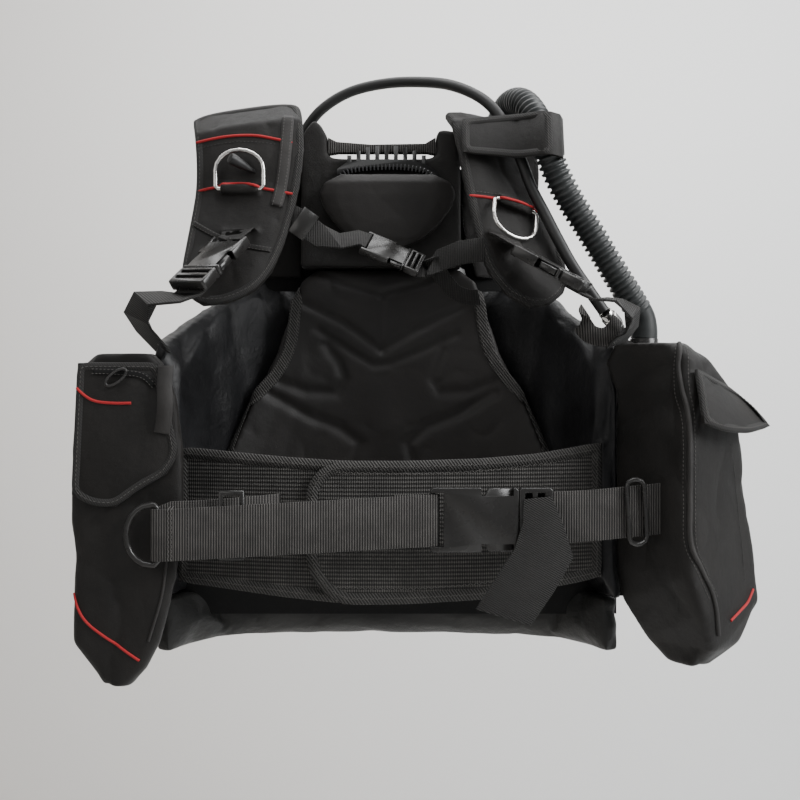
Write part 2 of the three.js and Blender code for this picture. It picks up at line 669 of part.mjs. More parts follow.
const BELT_RING = { x: -221, z: -130, width: 64, height: 36 };
function waistStrapRight() {
  const b = BUCKLES.waist;
  const barX = b.centre.x - b.length / 2 + 2.5;
  const r = 5.4;
  const ringR = (BELT_RING_WIRE / 2 + GAP + WEB / 2) / Math.cos(Math.PI / 8) + 0.1;
  const back = BELT_RING.z + 7;
  return webbing(
    [
      V(8, BUCKLE_Y + r, -117), V(30, BUCKLE_Y + r, -116),
      ...wrap(barX, BUCKLE_Y, r, 90, -90, -115.5),
      V(10, BUCKLE_Y - r, -117), V(-90, BUCKLE_Y - r, -123), V(-205, BUCKLE_Y - ringR - 0.3, -129.5),
      ...wrap(BELT_RING.x, BUCKLE_Y, ringR, 270, 90, BELT_RING.z),
      V(-205, BUCKLE_Y + ringR + 0.6, back), V(-176, BUCKLE_Y + ringR + 1, back + 1),
      V(-146, -206, back + 3), V(-122, -190, back + 4), V(-108, -172, back + 4),
    ],
    WAIST_WEB,
    V(0, 0, 1),
  );
}

const STRAP_LEFT_END = [278, -194, -106];
const waistStrapLeftPath = () => {
  const y = BUCKLE_Y + BUCKLES.waist.thick / 2 + GAP + WEB / 2;
  return [V(134, y, -115), V(150, y, -115), V(172, y + 0.5, -114), V(205, -205.5, -112),
    V(240, -200.5, -109), P(STRAP_LEFT_END)];
};
const waistStrapLeft = (grow = 0) => webbing(waistStrapLeftPath(), WAIST_WEB, V(0, 0, 1), grow);

function waistTail() {
  const y = BUCKLE_Y - BUCKLES.waist.thick / 2 - GAP - WEB / 2;
  const left = [[131, y, -95], [130, y - 0.6, -118], [122, y - 2, -142], [104, y - 3, -170],
    [85, y - 4, -199]];
  const right = [[158, y, -92], [170, y - 0.6, -122], [178, y - 2, -150], [160, y - 3, -182],
    [137, y - 4, -215]];
  return slab(between(left, right, 4), even(WEB));
}

function waistRingLeft() {
  const along = V(1, 0.15, 0.06).normalize();
  const centre = V(243, -200.2, -109).addScaledVector(V(0.15, -1, 0), WEB / 2 + GAP + 2.7);
  const [halfX, halfZ, turn] = [9, 31.5, 7];
  const path = [];
  for (const [x, z, from] of [[1, 1, 0], [-1, 1, 90], [-1, -1, 180], [1, -1, 270]]) {
    for (const step of [0, 45, 90]) {
      const a = THREE.MathUtils.degToRad(from + step);
      path.push(V(x * (halfX - turn) + turn * Math.cos(a), z * (halfZ - turn) + turn * Math.sin(a), 0));
    }
  }
  const up = V(0, 0, 1).addScaledVector(along, -along.z).normalize();
  const m = new THREE.Matrix4().makeBasis(along, up, along.clone().cross(up));
  m.setPosition(centre);
  return tube(path, 2.5, 8, true).transform(m.elements);
}

function waistSlider() {
  const front = BUCKLE_Y - 5.4 + WEB / 2 + GAP + 0.2;
  const frame = block(-161, -137, front, front + 4, -154, -87);
  return frame.subtract(block(-157, -141, front - 1, front + 5, -149.5, -92));
}

const BELT_RING_BAR = {
  centre: V(BELT_RING.x, BUCKLE_Y, BELT_RING.z),
  along: V(0, 0, 1),
  loop: V(-1, 0, 0),
};

// ---- pockets ----
// A ring round a convex outline with its corners rounded.
function roundedRing(corners, r, z) {
  const n = corners.length;
  const out = [];
  corners.forEach(([x, y], i) => {
    const p = V(x, y, z);
    const before = V(...corners[(i + n - 1) % n], z).sub(p).setLength(r);
    const after = V(...corners[(i + 1) % n], z).sub(p).setLength(r);
    out.push(p.clone().add(before), p.clone().addScaledVector(before, 0.3).addScaledVector(after, 0.3),
      p.clone().add(after));
  });
  return out;
}

// Each row: height, outer and inner edge of the front, and how far back it reaches.
const POCKET_RIGHT = [
  [-280, -280, -252, -170], [-262, -291, -233, -140], [-238, -309, -220, -115], [-180, -309, -203, -98],
  [-120, -311, -195, -95], [-50, -310, -195, -96], [0, -306, -201, -100], [34, -299, -214, -108],
    [45, -288, -224, -120],
];
const pocketRightSolid = () =>
  skin(POCKET_RIGHT.map(([z, outer, inner, back]) =>
    roundedRing([[inner, POCKET_FRONT], [outer, POCKET_FRONT + 4], [outer + 3, back],
      [Math.min(inner, -250), back]], 12, z)));

function pocketRight(cellGrown, beltGrown) {
  const w = POCKET_WALL;
  const rows = POCKET_RIGHT.slice(2, -1).map(([z, outer, , back]) => [z, outer, back]);
  const cavity = skin(rows.map(([z, outer, back]) =>
    roundedRing([[-259, POCKET_FRONT + w], [outer + w, POCKET_FRONT + w + 3], [outer + w + 3, back - w],
      [-259, back - w]], 6, z)));
  const mouth = block(-296, -262, POCKET_FRONT - 2, POCKET_FRONT + w + 4, -2, 26);
  return cut(pocketRightSolid(), cellGrown, beltGrown, cavity, mouth);
}

// Each row: height, the hem ridge in front, the outer corner and the inner rear corner.
const POCKET_LEFT = [
  [-262, [300, -200], [322, -182], [282, -165]], [-242, [314, -214], [358, -166], [262, -150]],
  [-205, [302, -226], [384, -152], [240, -138]], [-170, [290, -230], [382, -148], [232, -132]],
  [-100, [288, -230], [371, -148], [231, -132]], [-30, [289, -228], [364, -152], [230, -134]],
  [10, [295, -222], [350, -165], [226, -142]], [40, [296, -212], [322, -182], [216, -152]],
  [56, [282, -202], [300, -188], [222, -168]],
];
const pocketLeftRing = ([z, ridge, outer, inner], r, inset = 0) => {
  const rear = [outer[0] - 20 + (z > 20 ? 10 : 0), -118 - (z > 20 ? 30 : 0)];
  const corners = [ridge, outer, rear, inner];
  const middle = corners.reduce((a, [x, y]) => [a[0] + x / 4, a[1] + y / 4], [0, 0]);
  const moved = corners.map(([x, y]) => {
    const off = Math.hypot(x - middle[0], y - middle[1]);
    const share = 1 - (inset * 1.5) / off;
    return [middle[0] + (x - middle[0]) * share, middle[1] + (y - middle[1]) * share];
  });
  return roundedRing(moved, r, z);
};

function pocketLeft(cellGrown, beltGrown, strapGrown) {
  const body = skin(POCKET_LEFT.map((row) => pocketLeftRing(row, 10)));
  const cavity = skin(POCKET_LEFT.slice(2, -2).map((row) => pocketLeftRing(row, 6, POCKET_WALL)));
  const mouth = placed(block(-16, 16, -14, 14, -14, 14), V(330, -194, -10), V(0.75, 0.66, 0),
    V(-0.66, 0.75, 0));
  return cut(body, cellGrown, beltGrown, strapGrown, cavity, mouth);
}

// The right flap hangs from the front's upper edge; its lower edge rises towards the body.
function pocketFlapRight(pocket) {
  const y = POCKET_FRONT - GAP - FLAP_T / 2;
  const columns = [[-300, -306, -92], [-285, -288, -102], [-262, -264, -104], [-242, -240, -86],
    [-230, -214, -72], [-222, -203, -52]];
  const rows = 7;
  const grid = Array.from({ length: rows }, (_, i) => {
    const u = i / (rows - 1);
    return columns.map(([topX, lowX, lowZ]) => V(topX + (lowX - topX) * u, y,
      FLAP_TOP + (lowZ - FLAP_TOP) * u));
  });
  return cut(slab(grid, even(FLAP_T)), pocket);
}

function pocketFlapLeft(pocketGrown) {
  const rows = [
    [[298, -216, 30], [316, -200, 22], [336, -183, 14], [347, -173, 8]],
    [[299, -226, 4], [322, -210, -2], [348, -188, -6], [368, -168, -8]],
    [[301, -231, -22], [326, -219, -30], [356, -196, -32], [388, -160, -27]],
  ].map((row) => row.map(P));
  return cut(slab(rows, even(FLAP_T)), pocketGrown);
}

// ---- hoses and inflator ----
const HOSE_ROUTE = [
  [120, 20, 252.4], [120, 20, 272], [122, 11, 298], [129, -20, 323], [137, -55, 331], [148, -90, 321],
    [160, -113, 294],
  [168, -122, 264], [178, -121, 238], [194, -116, 210], [214, -112, 180], [241, -106, 138],
    [262, -98, 108], [274, -92, 90], [277, -91, 76], [277, -91, 66.4],
];
const LP_ROUTE = [
  [224, -140, 92], [208, -142, 114], [191, -138, 141], [177, -130, 170], [165, -122, 197],
    [152, -116, 225], [139, -111, 262],
  [123, -108, 296], [104, -98, 322], [76, -76, 343], [46, -50, 356], [0, -24, 363], [-44, -14, 356],
    [-78, -8, 337],
  [-100, 4, 312], [-114, 18, 280], [-118, 25, 245], [-114, 26, 214],
];
// A hose: a round section drawn along a smooth curve through its route.
function hoseTube(route, radius, sides, steps) {
  const corners = Array.from({ length: sides }, (_, i) => {
    const a = (2 * Math.PI * i) / sides;
    return new THREE.Vector2(radius * Math.cos(a), radius * Math.sin(a));
  });
  const extrudePath = new THREE.CatmullRomCurve3(route.map(P));
  return solidOf(new THREE.ExtrudeGeometry(new THREE.Shape(corners),
    { steps, extrudePath, bevelEnabled: false }));
}
const bigHose = (grow = 0) => hoseTube(HOSE_ROUTE, HOSE_R + grow, 12, 26);
const lpHose = (grow = 0) => hoseTube(LP_ROUTE, LP_R + grow, 10, 36);

function hoseElbow(strapGrown) {
  const flange = turned([[0, -9], [23, -9], [23, -1], [20, 2], [0, 2]], 24);
  const bend = curve([[120, -2, 225], [120, 10, 226], [120, 18, 234], [120, 20, 251]], 8);
  return cut(placed(flange, V(120, 0, 225), V(1, 0, 0), V(0, 0, -1)).add(tube(bend, 12.5, 16)), strapGrown);
}

const INFLATOR = { x: 277, y: -91, top: 66, low: -36, r: 15 };
const BUTTONS = { inflate: { z: 30, r: 7.5 }, deflate: { z: -14, r: 8.5 } };
const LP_DOCK = { from: [224, -140, 92], to: [242, -126, 76] };
const barrel = (from, to, r, sides = 16) => tube([from, from.clone().lerp(to, 0.5), to], r, sides);

function inflatorBody() {
  const { x, y, top, low, r } = INFLATOR;
  let body = turned([[0, low], [11, low], [13, low + 8], [13, top - 30], [r, top - 24], [r, top],
    [0, top]], 20).translate([x, y, 0]);
  for (const b of Object.values(BUTTONS)) {
    body = body.add(barrel(V(x, y, b.z), V(x, y - 22, b.z), b.r + 3));
    body = body.subtract(barrel(V(x, y - 14, b.z), V(x, y - 23, b.z), b.r + 0.4));
  }
  const dock = P(LP_DOCK.to);
  return body.add(tube([dock, V(250, -110, 60), V(x, y, 48)], 6.5, 12));
}

const inflatorButton = (b) =>
  barrel(V(INFLATOR.x, INFLATOR.y - 18, b.z), V(INFLATOR.x, INFLATOR.y - 26, b.z), b.r);

function mouthpiece() {
  const { x, y, low } = INFLATOR;
  const z = low - GAP;
  return turned([[0, z], [11, z], [11.5, z - 6], [9, z - 12], [10, z - 22], [15, z - 30], [15, z - 33],
    [7, z - 33], [6, z - 4], [0, z - 4]], 20).translate([x, y, 0]);
}

function lpCoupling() {
  const a = P(LP_DOCK.from);
  const b = P(LP_DOCK.to);
  const way = b.clone().sub(a).normalize();
  const from = a.clone().addScaledVector(way, GAP + 1.6);
  const to = b.clone().addScaledVector(way, -GAP - 2.6);
  return tube([from, from.clone().lerp(to, 0.3), from.clone().lerp(to, 0.32), from.clone().lerp(to, 0.8),
    to], [7, 7, 8.6, 8.6, 7.5], 16);
}

function lpFitting() {
  const end = P(LP_ROUTE.at(-1));
  const way = V(4, 1, -31).normalize();
  const at = (t) => end.clone().addScaledVector(way, GAP + t);
  return tube([at(0), at(16), at(16.2), at(24), at(24.2), at(34)],
    [FITTING_R, FITTING_R, 9, 9, 4.8, 4.8], 12);
}

function hoseCoverFlap(...grown) {
  const line = [[79, -126, 272], [98, -121, 275], [118, -120, 277], [136, -121, 278], [150, -128, 278],
    [160, -135.5, 278], [170, -137, 277], [180, -131, 276], [184.5, -120, 274], [181, -108, 272]];
  const lean = V(0, 7, 24);
  const low = line.map(([x, y, z], i) => P([x, y, z]).addScaledVector(lean,
    -1 + (i < 3 ? 0.15 * (3 - i) : 0)).toArray());
  const high = line.map(([x, y, z]) => P([x, y, z]).add(lean).toArray());
  return cut(slab(between(low, high, 4), even(3)), ...grown);
}

// ---- rear dump valve ----
const DUMP = { x: -150, y: -31, z: -234 };
function rearDump(cellGrown) {
  const dome = turned([[2.4, -12], [25, -12], [25, -3], [21, 2], [12, 6], [2.4, 6.5], [2.4, -12]], 24);
  return cut(placed(dome, V(DUMP.x, DUMP.y + 8, DUMP.z), V(1, 0, 0), V(0, 0, -1)), cellGrown);
}
function rearToggle() {
  const y = DUMP.y + 8;
  const knob = turned([[0, -2], [1.9, -2], [1.9, 9], [8, 12], [9.5, 20], [8, 28], [0, 29]], 16);
  return placed(knob, V(DUMP.x, y, DUMP.z), V(1, 0, 0), V(0, 0, -1));
}

// ---- the whole vest ----
add("backpack_shell", backpackShell(), PLASTIC);
add("tank_band", tankBand(), WEBBING);
add("cam_buckle_body", camBody(), PLASTIC);
add("cam_buckle_lever", camLever(), PLASTIC);

add("carry_handle", carryHandle(), WEBBING);
add("neck_comb", cut(neckComb(), neckPad(GAP)), RUBBER);
add("neck_pad", neckPad(), FOAM);
const padGrown = backPad(GAP);
add("back_pad", backPad(), FOAM);

const hoseGrown = bigHose(GAP);
const lpGrown = lpHose(GAP);
const STRAPS = {
  right: { edges: STRAP_RIGHT, bar: BAR_RIGHT, root: [[-153, -122, 180]], rootWide: V(0.97, -0.2, -0.15) },
  left: { edges: STRAP_LEFT, bar: BAR_LEFT, root: [[120, -121, 174], [122, -139, 168]],
    rootWide: V(0.85, 0.4, -0.2) },
};
const strapGrown = {};
const backpackRoom = block(-96, 96, -PLATE - GAP, TANK_R, PLATE_LOW, PLATE_TOP + GAP);
for (const [side, { edges, bar, root, rootWide }] of Object.entries(STRAPS)) {
  const b = BUCKLES[`shoulder_${side}`];
  const made = buckle(b.web, b.length, b.thick);
  const front = -made.bar / 2 - GAP - WEB / 2 - 0.2;
  const tabPath = [...root.map(P), ...[-13, -3, made.bar + 3].map((x) => inBuckle(b, x - made.end, front))];
  const tabWide = tabPath.map((_, i) => (i < root.length ? rootWide : across(b)));
  const tab = webbing(tabPath, SHOULDER_WEB, tabWide);
  const tabGrown = webbing(tabPath, SHOULDER_WEB, tabWide, GAP);
  const strap = join(shoulderStrap(edges), ringTunnel(bar), tab).subtract(barBore(bar));
  strapGrown[side] = join(shoulderStrap(edges, GAP), tabGrown);
  add(`shoulder_strap_${side}`, cut(strap, backpackRoom, hoseGrown, lpGrown), NYLON);
  add(`shoulder_ring_${side}`, dRing(bar, RING_W, RING_H, RING_WIRE), STEEL);
}
add("yoke", cut(yoke(), strapGrown.right, strapGrown.left), NYLON);
add("dump_toggle", cut(dumpToggle(), strapGrown.right), RUBBER);

const beltGrown = { right: belt(BELT_RIGHT, UNDER, GAP), left: belt(BELT_LEFT, 0, GAP) };
add("cummerbund_right", belt(BELT_RIGHT, UNDER), NYLON);
add("cummerbund_left", belt(BELT_LEFT, 0), NYLON);

const inflator = inflatorBody();
const cellGrown = {};
for (const [side, s] of [["right", -1], ["left", 1]]) {
  cellGrown[side] = airCell(s, GAP);
  const cell = cut(airCell(s), padGrown, beltGrown.right, beltGrown.left, strapGrown[side]);
  add(`air_cell_${side}`, cell, SHINY_NYLON);
}
add("air_cell_lower", cut(lowerCell(), cellGrown.right, cellGrown.left), SHINY_NYLON);

const leftStrapGrown = waistStrapLeft(GAP);
const rightPocket = pocketRight(cellGrown.right, beltGrown.right);
add("pocket_right", rightPocket, NYLON);
const leftPocket = pocketLeft(cellGrown.left, beltGrown.left, leftStrapGrown);
add("pocket_left", leftPocket, NYLON);
add("pocket_flap_right", pocketFlapRight(rightPocket), NYLON);
add("pocket_flap_left", pocketFlapLeft(skin(POCKET_LEFT.map((row) => pocketLeftRing(row, 10, -GAP)))), NYLON);

add("waist_strap_right", cut(waistStrapRight(), beltGrown.right, beltGrown.left), WEBBING);
add("waist_strap_left", waistStrapLeft(), WEBBING);
add("waist_strap_tail", waistTail(), WEBBING);
add("waist_ring_right", dRing(BELT_RING_BAR, BELT_RING.width, BELT_RING.height, BELT_RING_WIRE), PLASTIC);
add("waist_ring_left", waistRingLeft(), PLASTIC);
add("waist_slider", waistSlider(), PLASTIC);
for (const [name, b] of Object.entries(BUCKLES)) addBuckle(name, b);

function chestStraps() {
  const b = BUCKLES.chest;
  const made = buckle(b.web, b.length, b.thick);
  const front = -made.bar / 2 - GAP - WEB / 2 - 0.2;
  const w = across(b);
  const right = [V(-108, -118, 197), V(-92, -125, 188), V(-72, -122, 173), V(-50, -117, 168),
    inBuckle(b, -made.end - 6, front), inBuckle(b, -made.end + made.bar + 2, front)];
  const leftY = made.deep + GAP + WEB / 2;
  const left = [...[5, 17.5, 23].map((x) => inBuckle(b, made.mouth + x, leftY)), V(56, -116, 148),
    V(76, -130, 154), V(100, -140, 156)];
  const wide = [V(0.5, 0, 0.86), V(0.5, 0, 0.86), V(0.55, 0.2, 0.8), w, w, w];
  const rightWeb = (grow) => webbing(right, CHEST_WEB, wide, grow);
  add("chest_strap_right", cut(rightWeb(0), strapGrown.right), WEBBING);
  add("chest_strap_left", cut(webbing(left, CHEST_WEB, [w, w, w, V(0.2, 0, 1), V(0, 0, 1), V(0, 0, 1)]),
    strapGrown.left), WEBBING);
  const slider = placed(block(-9, 9, -3.2, 3.2, -15, 15), V(-88, -124.6, 185), V(0.8, 0.1, -0.55),
    V(0.1, 1, 0));
  add("chest_slider", cut(slider, rightWeb(GAP), strapGrown.right), PLASTIC);
}
chestStraps();

const WEBBING_ROUTES = {
  right: [[-228, -194, 100], [-244, -186, 92], [-251, -170, 80], [-246, -152, 68], [-232, -140, 50]],
  left: [[222, -191, 99], [238, -187, 90], [246, -174, 80], [244, -160, 70], [235, -147, 57]],
};
for (const [side, points] of Object.entries(WEBBING_ROUTES)) {
  const b = BUCKLES[`shoulder_${side}`];
  const made = buckle(b.web, b.length, b.thick);
  const rear = made.deep + GAP + WEB / 2;
  const path = [8, 29, 36].map((x) => inBuckle(b, made.mouth + x, rear)).concat(points.map(P));
  const s = side === "right" ? 1 : -1;
  const w = across(b).multiplyScalar(across(b).x * s > 0 ? 1 : -1);
  const wide = path.map((_, i) => w.clone().lerp(V(s * 0.5, -0.85, 0),
    Math.max(0, (i - 2) / (path.length - 3))));
  add(`shoulder_webbing_${side}`, cut(webbing(path, SHOULDER_WEB, wide), cellGrown[side],
    strapGrown[side]), WEBBING);
}

const hoseSeat = block(250, 300, -120, -60, INFLATOR.top - 30, INFLATOR.top + GAP);
add("corrugated_hose", cut(bigHose(), hoseSeat), HOSE);
add("lp_hose", lpHose(), RUBBER);
add("hose_elbow", hoseElbow(strapGrown.left), PLASTIC);
add("inflator_body", inflator, PLASTIC);
for (const [name, b] of Object.entries(BUTTONS)) add(`${name}_button`, inflatorButton(b), PLASTIC);
add("mouthpiece", mouthpiece(), RUBBER);
add("lp_coupling", cut(lpCoupling(), lpGrown), STEEL);
add("lp_fitting", lpFitting(), STEEL);
add("hose_cover_flap", hoseCoverFlap(strapGrown.left, hoseGrown, lpGrown), NYLON);
add("dump_valve_rear", rearDump(lowerCell()), PLASTIC);
add("dump_toggle_rear", rearToggle(), RUBBER);

export default part;
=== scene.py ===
import math

import bmesh
import bpy
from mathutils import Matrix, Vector, noise
from mathutils.bvhtree import BVHTree


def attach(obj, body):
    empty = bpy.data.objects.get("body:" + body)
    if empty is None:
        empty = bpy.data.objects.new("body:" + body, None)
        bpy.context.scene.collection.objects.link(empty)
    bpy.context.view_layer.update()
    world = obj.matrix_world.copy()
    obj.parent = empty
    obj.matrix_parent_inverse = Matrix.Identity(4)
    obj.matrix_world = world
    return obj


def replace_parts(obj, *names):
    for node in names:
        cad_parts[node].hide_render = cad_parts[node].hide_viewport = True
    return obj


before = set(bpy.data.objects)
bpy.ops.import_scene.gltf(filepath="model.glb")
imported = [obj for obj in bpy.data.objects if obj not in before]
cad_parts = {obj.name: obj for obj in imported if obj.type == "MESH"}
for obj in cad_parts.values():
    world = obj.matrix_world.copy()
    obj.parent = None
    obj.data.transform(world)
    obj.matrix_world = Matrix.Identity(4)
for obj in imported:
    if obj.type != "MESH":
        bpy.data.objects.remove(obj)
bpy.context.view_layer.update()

# A scuba buoyancy vest around its fixed frame. Metres, +Z up, the wearer faces -Y, their left is +X.
VEST = "vest"
MM = 0.001
NOISE_SEED = 7
noise.seed_set(NOISE_SEED)  # without it, creases differ from run to run
FULL_TURN = 2 * math.pi
INWARD = Vector((0, 1, 0))  # from the front of the vest towards the wearer
SIGHT = 0.5  # how far before a point its line of sight starts
RIM_SIGHT = 0.4  # the same, where a rim is looked for
WELD = 1e-5  # corners nearer than this are one
SMOOTH_ANGLE = math.radians(50)  # edges sharper than this stay sharp

# ---- camera ----
EYE = Vector((0.013, -1.230, 0.0))
HALF_FRAME = 400
FOCAL_LENGTH = 1052.6  # in the half frame's unit
FIELD = 2 * math.atan(HALF_FRAME / FOCAL_LENGTH)


def link(name, data):
    made = bpy.data.objects.new(name, data)
    bpy.context.scene.collection.objects.link(made)
    return made


def make_camera():
    data = bpy.data.cameras.new("camera")
    data.angle = FIELD
    camera = link("camera", data)
    camera.location = EYE
    camera.rotation_euler = (math.pi / 2, 0, 0)
    bpy.context.scene.camera = camera


make_camera()


# ---- node trees ----
class Tree:
    """Makes the nodes of one tree: settings first, then the values or links of the sockets."""

    def __init__(self, tree):
        self.tree = tree

    def node(self, kind, settings=None, inputs=None, output=0):
        made = self.tree.nodes.new(kind)
        for name, value in (settings or {}).items():
            if name == "stops":
                self._ramp(made.color_ramp, value)
            else:
                setattr(made, name, value)
        pairs = inputs.items() if isinstance(inputs, dict) else enumerate(inputs or [])
        for key, value in pairs:
            if value is not None:
                self._feed(made.inputs[key], value)
        return Value(self, made.outputs[output]) if len(made.outputs) else made

    def _ramp(self, ramp, stops):
        while len(ramp.elements) < len(stops):
            ramp.elements.new(1.0)
        for element, (position, colour) in zip(ramp.elements, stops):
            element.position = position
            element.color = (*colour, 1.0) if len(colour) == 3 else colour

    def _feed(self, socket, value):
        if isinstance(value, Value):
            self.tree.links.new(value.socket, socket)
        elif isinstance(value, (tuple, list, Vector)) and len(value) == 3 and socket.type == "RGBA":
            socket.default_value = (*value, 1.0)
        else:
            socket.default_value = value


def operator(operation, swapped=False):
    """A method that joins a value and another by one maths node."""
    def apply(self, other):
        sides = [other, self] if swapped else [self, other]
        return self.tree.node("ShaderNodeMath", {"operation": operation}, sides)
    return apply


class Value:
    """An output socket that Python's operators work on."""

    def __init__(self, tree, socket):
        self.tree = tree
        self.socket = socket

    __add__ = __radd__ = operator("ADD")
    __mul__ = __rmul__ = operator("MULTIPLY")
    __sub__ = operator("SUBTRACT")
    __rsub__ = operator("SUBTRACT", swapped=True)
    __truediv__ = operator("DIVIDE")
    power = operator("POWER")
    over = operator("GREATER_THAN")

    def sine(self):
        return self.tree.node("ShaderNodeMath", {"operation": "SINE"}, [self])

    def output(self, name):
        return Value(self.tree, self.socket.node.outputs[name])


class Finish(Tree):
    """A material: its shader maths, and the one Principled surface that it ends in."""

    def __init__(self, name):
        self.material = bpy.data.materials.new(name)
        self.material.use_nodes = True
        super().__init__(self.material.node_tree)
        self.tree.nodes.clear()
        self.place = self.node("ShaderNodeTexCoord").output("Object")

    def noise(self, scale, detail=3.0, rough=0.55):
        return self.node("ShaderNodeTexNoise", None,
                         {"Vector": self.place, "Scale": scale, "Detail": detail, "Roughness": rough})

    def along(self, direction):
        """How far a point lies along a direction."""
        return self.node("ShaderNodeVectorMath", {"operation": "DOT_PRODUCT"},
                         [self.place, tuple(Vector(direction).normalized())], "Value")

    def blend(self, share, low, high):
        return self.node("ShaderNodeMix", {"data_type": "RGBA"}, {0: share, 6: low, 7: high}, 2)

    def bump(self, height, strength, distance=0.001, under=None):
        inputs = {"Height": height, "Strength": strength, "Distance": distance, "Normal": under}
        return self.node("ShaderNodeBump", None, inputs)

    def surface(self, colour, roughness, normal=None, **fixed):
        inputs = {"Base Color": colour, "Roughness": roughness, "Normal": normal}
        inputs.update({name.replace("_", " "): value for name, value in fixed.items()})
        shader = self.node("ShaderNodeBsdfPrincipled", None, inputs)
        self.node("ShaderNodeOutputMaterial", None, [shader])
        return self.material


# ---- finishes ----
WEAVE_RATE = 5200  # radians a metre
TWIST_PITCH = 0.0016  # of webbing's yarn
MESH_PITCH = 0.0040
MESH_SLANT = 0.58
SPECKS = 420  # scale of the noise that lint is cut from
SPECK_POWER = 9  # the higher, the fewer and smaller they are
CLOTH_LINT = (0.07, 0.066, 0.062)
PAD_LINT = (0.06, 0.055, 0.052)


def lint(f, amount):
    """Pale specks of dust and lint."""
    return f.noise(SPECKS, detail=2).power(SPECK_POWER) * amount


def cloth_finish(name, dark, light, roughness, weave=0.35, folds=0.3):
    """Woven nylon: a fine weave, soft rubbed patches and a little lint."""
    f = Finish(name)
    rubbed = f.noise(scale=14, detail=5, rough=0.62)
    fine = f.noise(scale=900, detail=2, rough=0.5)
    colour = f.blend((rubbed - 0.35) * 2.2, dark, light)
    colour = f.blend(lint(f, 0.9), colour, CLOTH_LINT)
    warp = (f.along((1, 0, 0.15)) * WEAVE_RATE).sine() * (f.along((0.1, 0.2, 1)) * WEAVE_RATE).sine()
    normal = f.bump(f.noise(scale=55, detail=6, rough=0.6), folds, distance=0.004)
    normal = f.bump(warp * 0.5 + fine, weave, distance=0.0006, under=normal)
    return f.surface(colour, roughness + (rubbed - 0.5) * 0.25, normal,
                     Sheen_Weight=0.035, Sheen_Roughness=0.4, Specular_IOR_Level=0.3)


def pad_finish():
    """Coated fabric over foam, with a smooth pebbled face."""
    f = Finish("pad_fabric")
    rubbed = f.noise(scale=9, detail=5, rough=0.6)
    colour = f.blend((rubbed - 0.3) * 1.8, (0.0052, 0.0043, 0.0038), (0.0165, 0.0138, 0.0126))
    colour = f.blend(lint(f, 0.8), colour, PAD_LINT)
    normal = f.bump(f.noise(scale=26, detail=5, rough=0.6), strength=0.25, distance=0.004)
    normal = f.bump(f.noise(scale=1100, detail=2, rough=0.5), strength=0.3, distance=0.0004, under=normal)
    return f.surface(colour, 0.56 + (rubbed - 0.5) * 0.3, normal, Sheen_Weight=0.02,
                     Specular_IOR_Level=0.42)


def webbing_finish(name, along, pitch=0.0025, dark=(0.0045, 0.0043, 0.0041),
                   light=(0.12, 0.113, 0.106)):
    """Webbing: ribs across its length, each of twisted yarn."""
    f = Finish(name)
    way = Vector(along).normalized()
    side = way.cross((0, 1, 0)).normalized()
    twist = (f.along(side) * (FULL_TURN / TWIST_PITCH)).sine()
    ribs = (f.along(way) * (FULL_TURN / pitch) + twist * 0.35).sine() * 0.5 + 0.5
    patchiness = f.noise(scale=60, detail=4, rough=0.65)
    crest = ribs.power(1.7)
    # The rib crests are painted lighter than the valleys, in patches by the noise: a painted highlight on the
    # ribs.
    colour = f.blend(crest * (patchiness + 0.15) * 1.2, dark, light)
    normal = f.bump(twist * 0.12 + ribs, strength=0.8, distance=0.0009)
    return f.surface(colour, 0.72, normal, Sheen_Weight=0.04, Specular_IOR_Level=0.35)


def mesh_finish():
    """Coarse open mesh over a dark lining."""
    f = Finish("belt_mesh")
    rate = FULL_TURN / MESH_PITCH
    row = (f.along((1, 0, MESH_SLANT)) * rate).sine()
    column = (f.along((-1, 0, MESH_SLANT)) * rate).sine()
    threads = (row * column) * 0.5 + 0.5
    patchiness = f.noise(scale=45, detail=4, rough=0.65)
    # The threads are painted lighter than the gaps, in patches by the noise: a painted highlight on the
    # threads.
    lit = threads.power(2.2) * (patchiness + 0.1) * 1.3
    colour = f.blend(lit, (0.005, 0.0047, 0.0044), (0.15, 0.143, 0.134))
    normal = f.bump(f.noise(scale=24, detail=5, rough=0.6), strength=0.3, distance=0.004)
    normal = f.bump(threads, strength=0.9, distance=0.0013, under=normal)
    return f.surface(colour, 0.75, normal, Sheen_Weight=0.03, Specular_IOR_Level=0.35)


def plastic_finish(name, colour, roughness, grain=0.12):
    """Moulded plastic with a fine spark texture and handling marks."""
    f = Finish(name)
    marks = f.noise(scale=60, detail=5, rough=0.65)
    shade = f.blend(marks, [c * 0.9 for c in colour], [c * 1.15 for c in colour])
    normal = f.bump(f.noise(scale=1400, detail=2, rough=0.5), grain, distance=0.0003)
    return f.surface(shade, roughness + (marks - 0.5) * 0.14, normal)


def steel_finish():
    f = Finish("steel")
    marks = f.noise(scale=220, detail=4, rough=0.6)
    colour = f.blend(marks, (0.56, 0.545, 0.52), (0.83, 0.82, 0.8))
    return f.surface(colour, 0.17 + marks * 0.16, f.bump(marks, strength=0.06, distance=0.0003), Metallic=1.0)


def thread_finish(name, colour):
    f = Finish(name)
    yarn = f.noise(scale=900, detail=2)
    shade = f.blend(yarn, [c * 0.6 for c in colour], colour)
    return f.surface(shade, 0.7, f.bump(yarn, strength=0.4, distance=0.0003), Sheen_Weight=0.05)


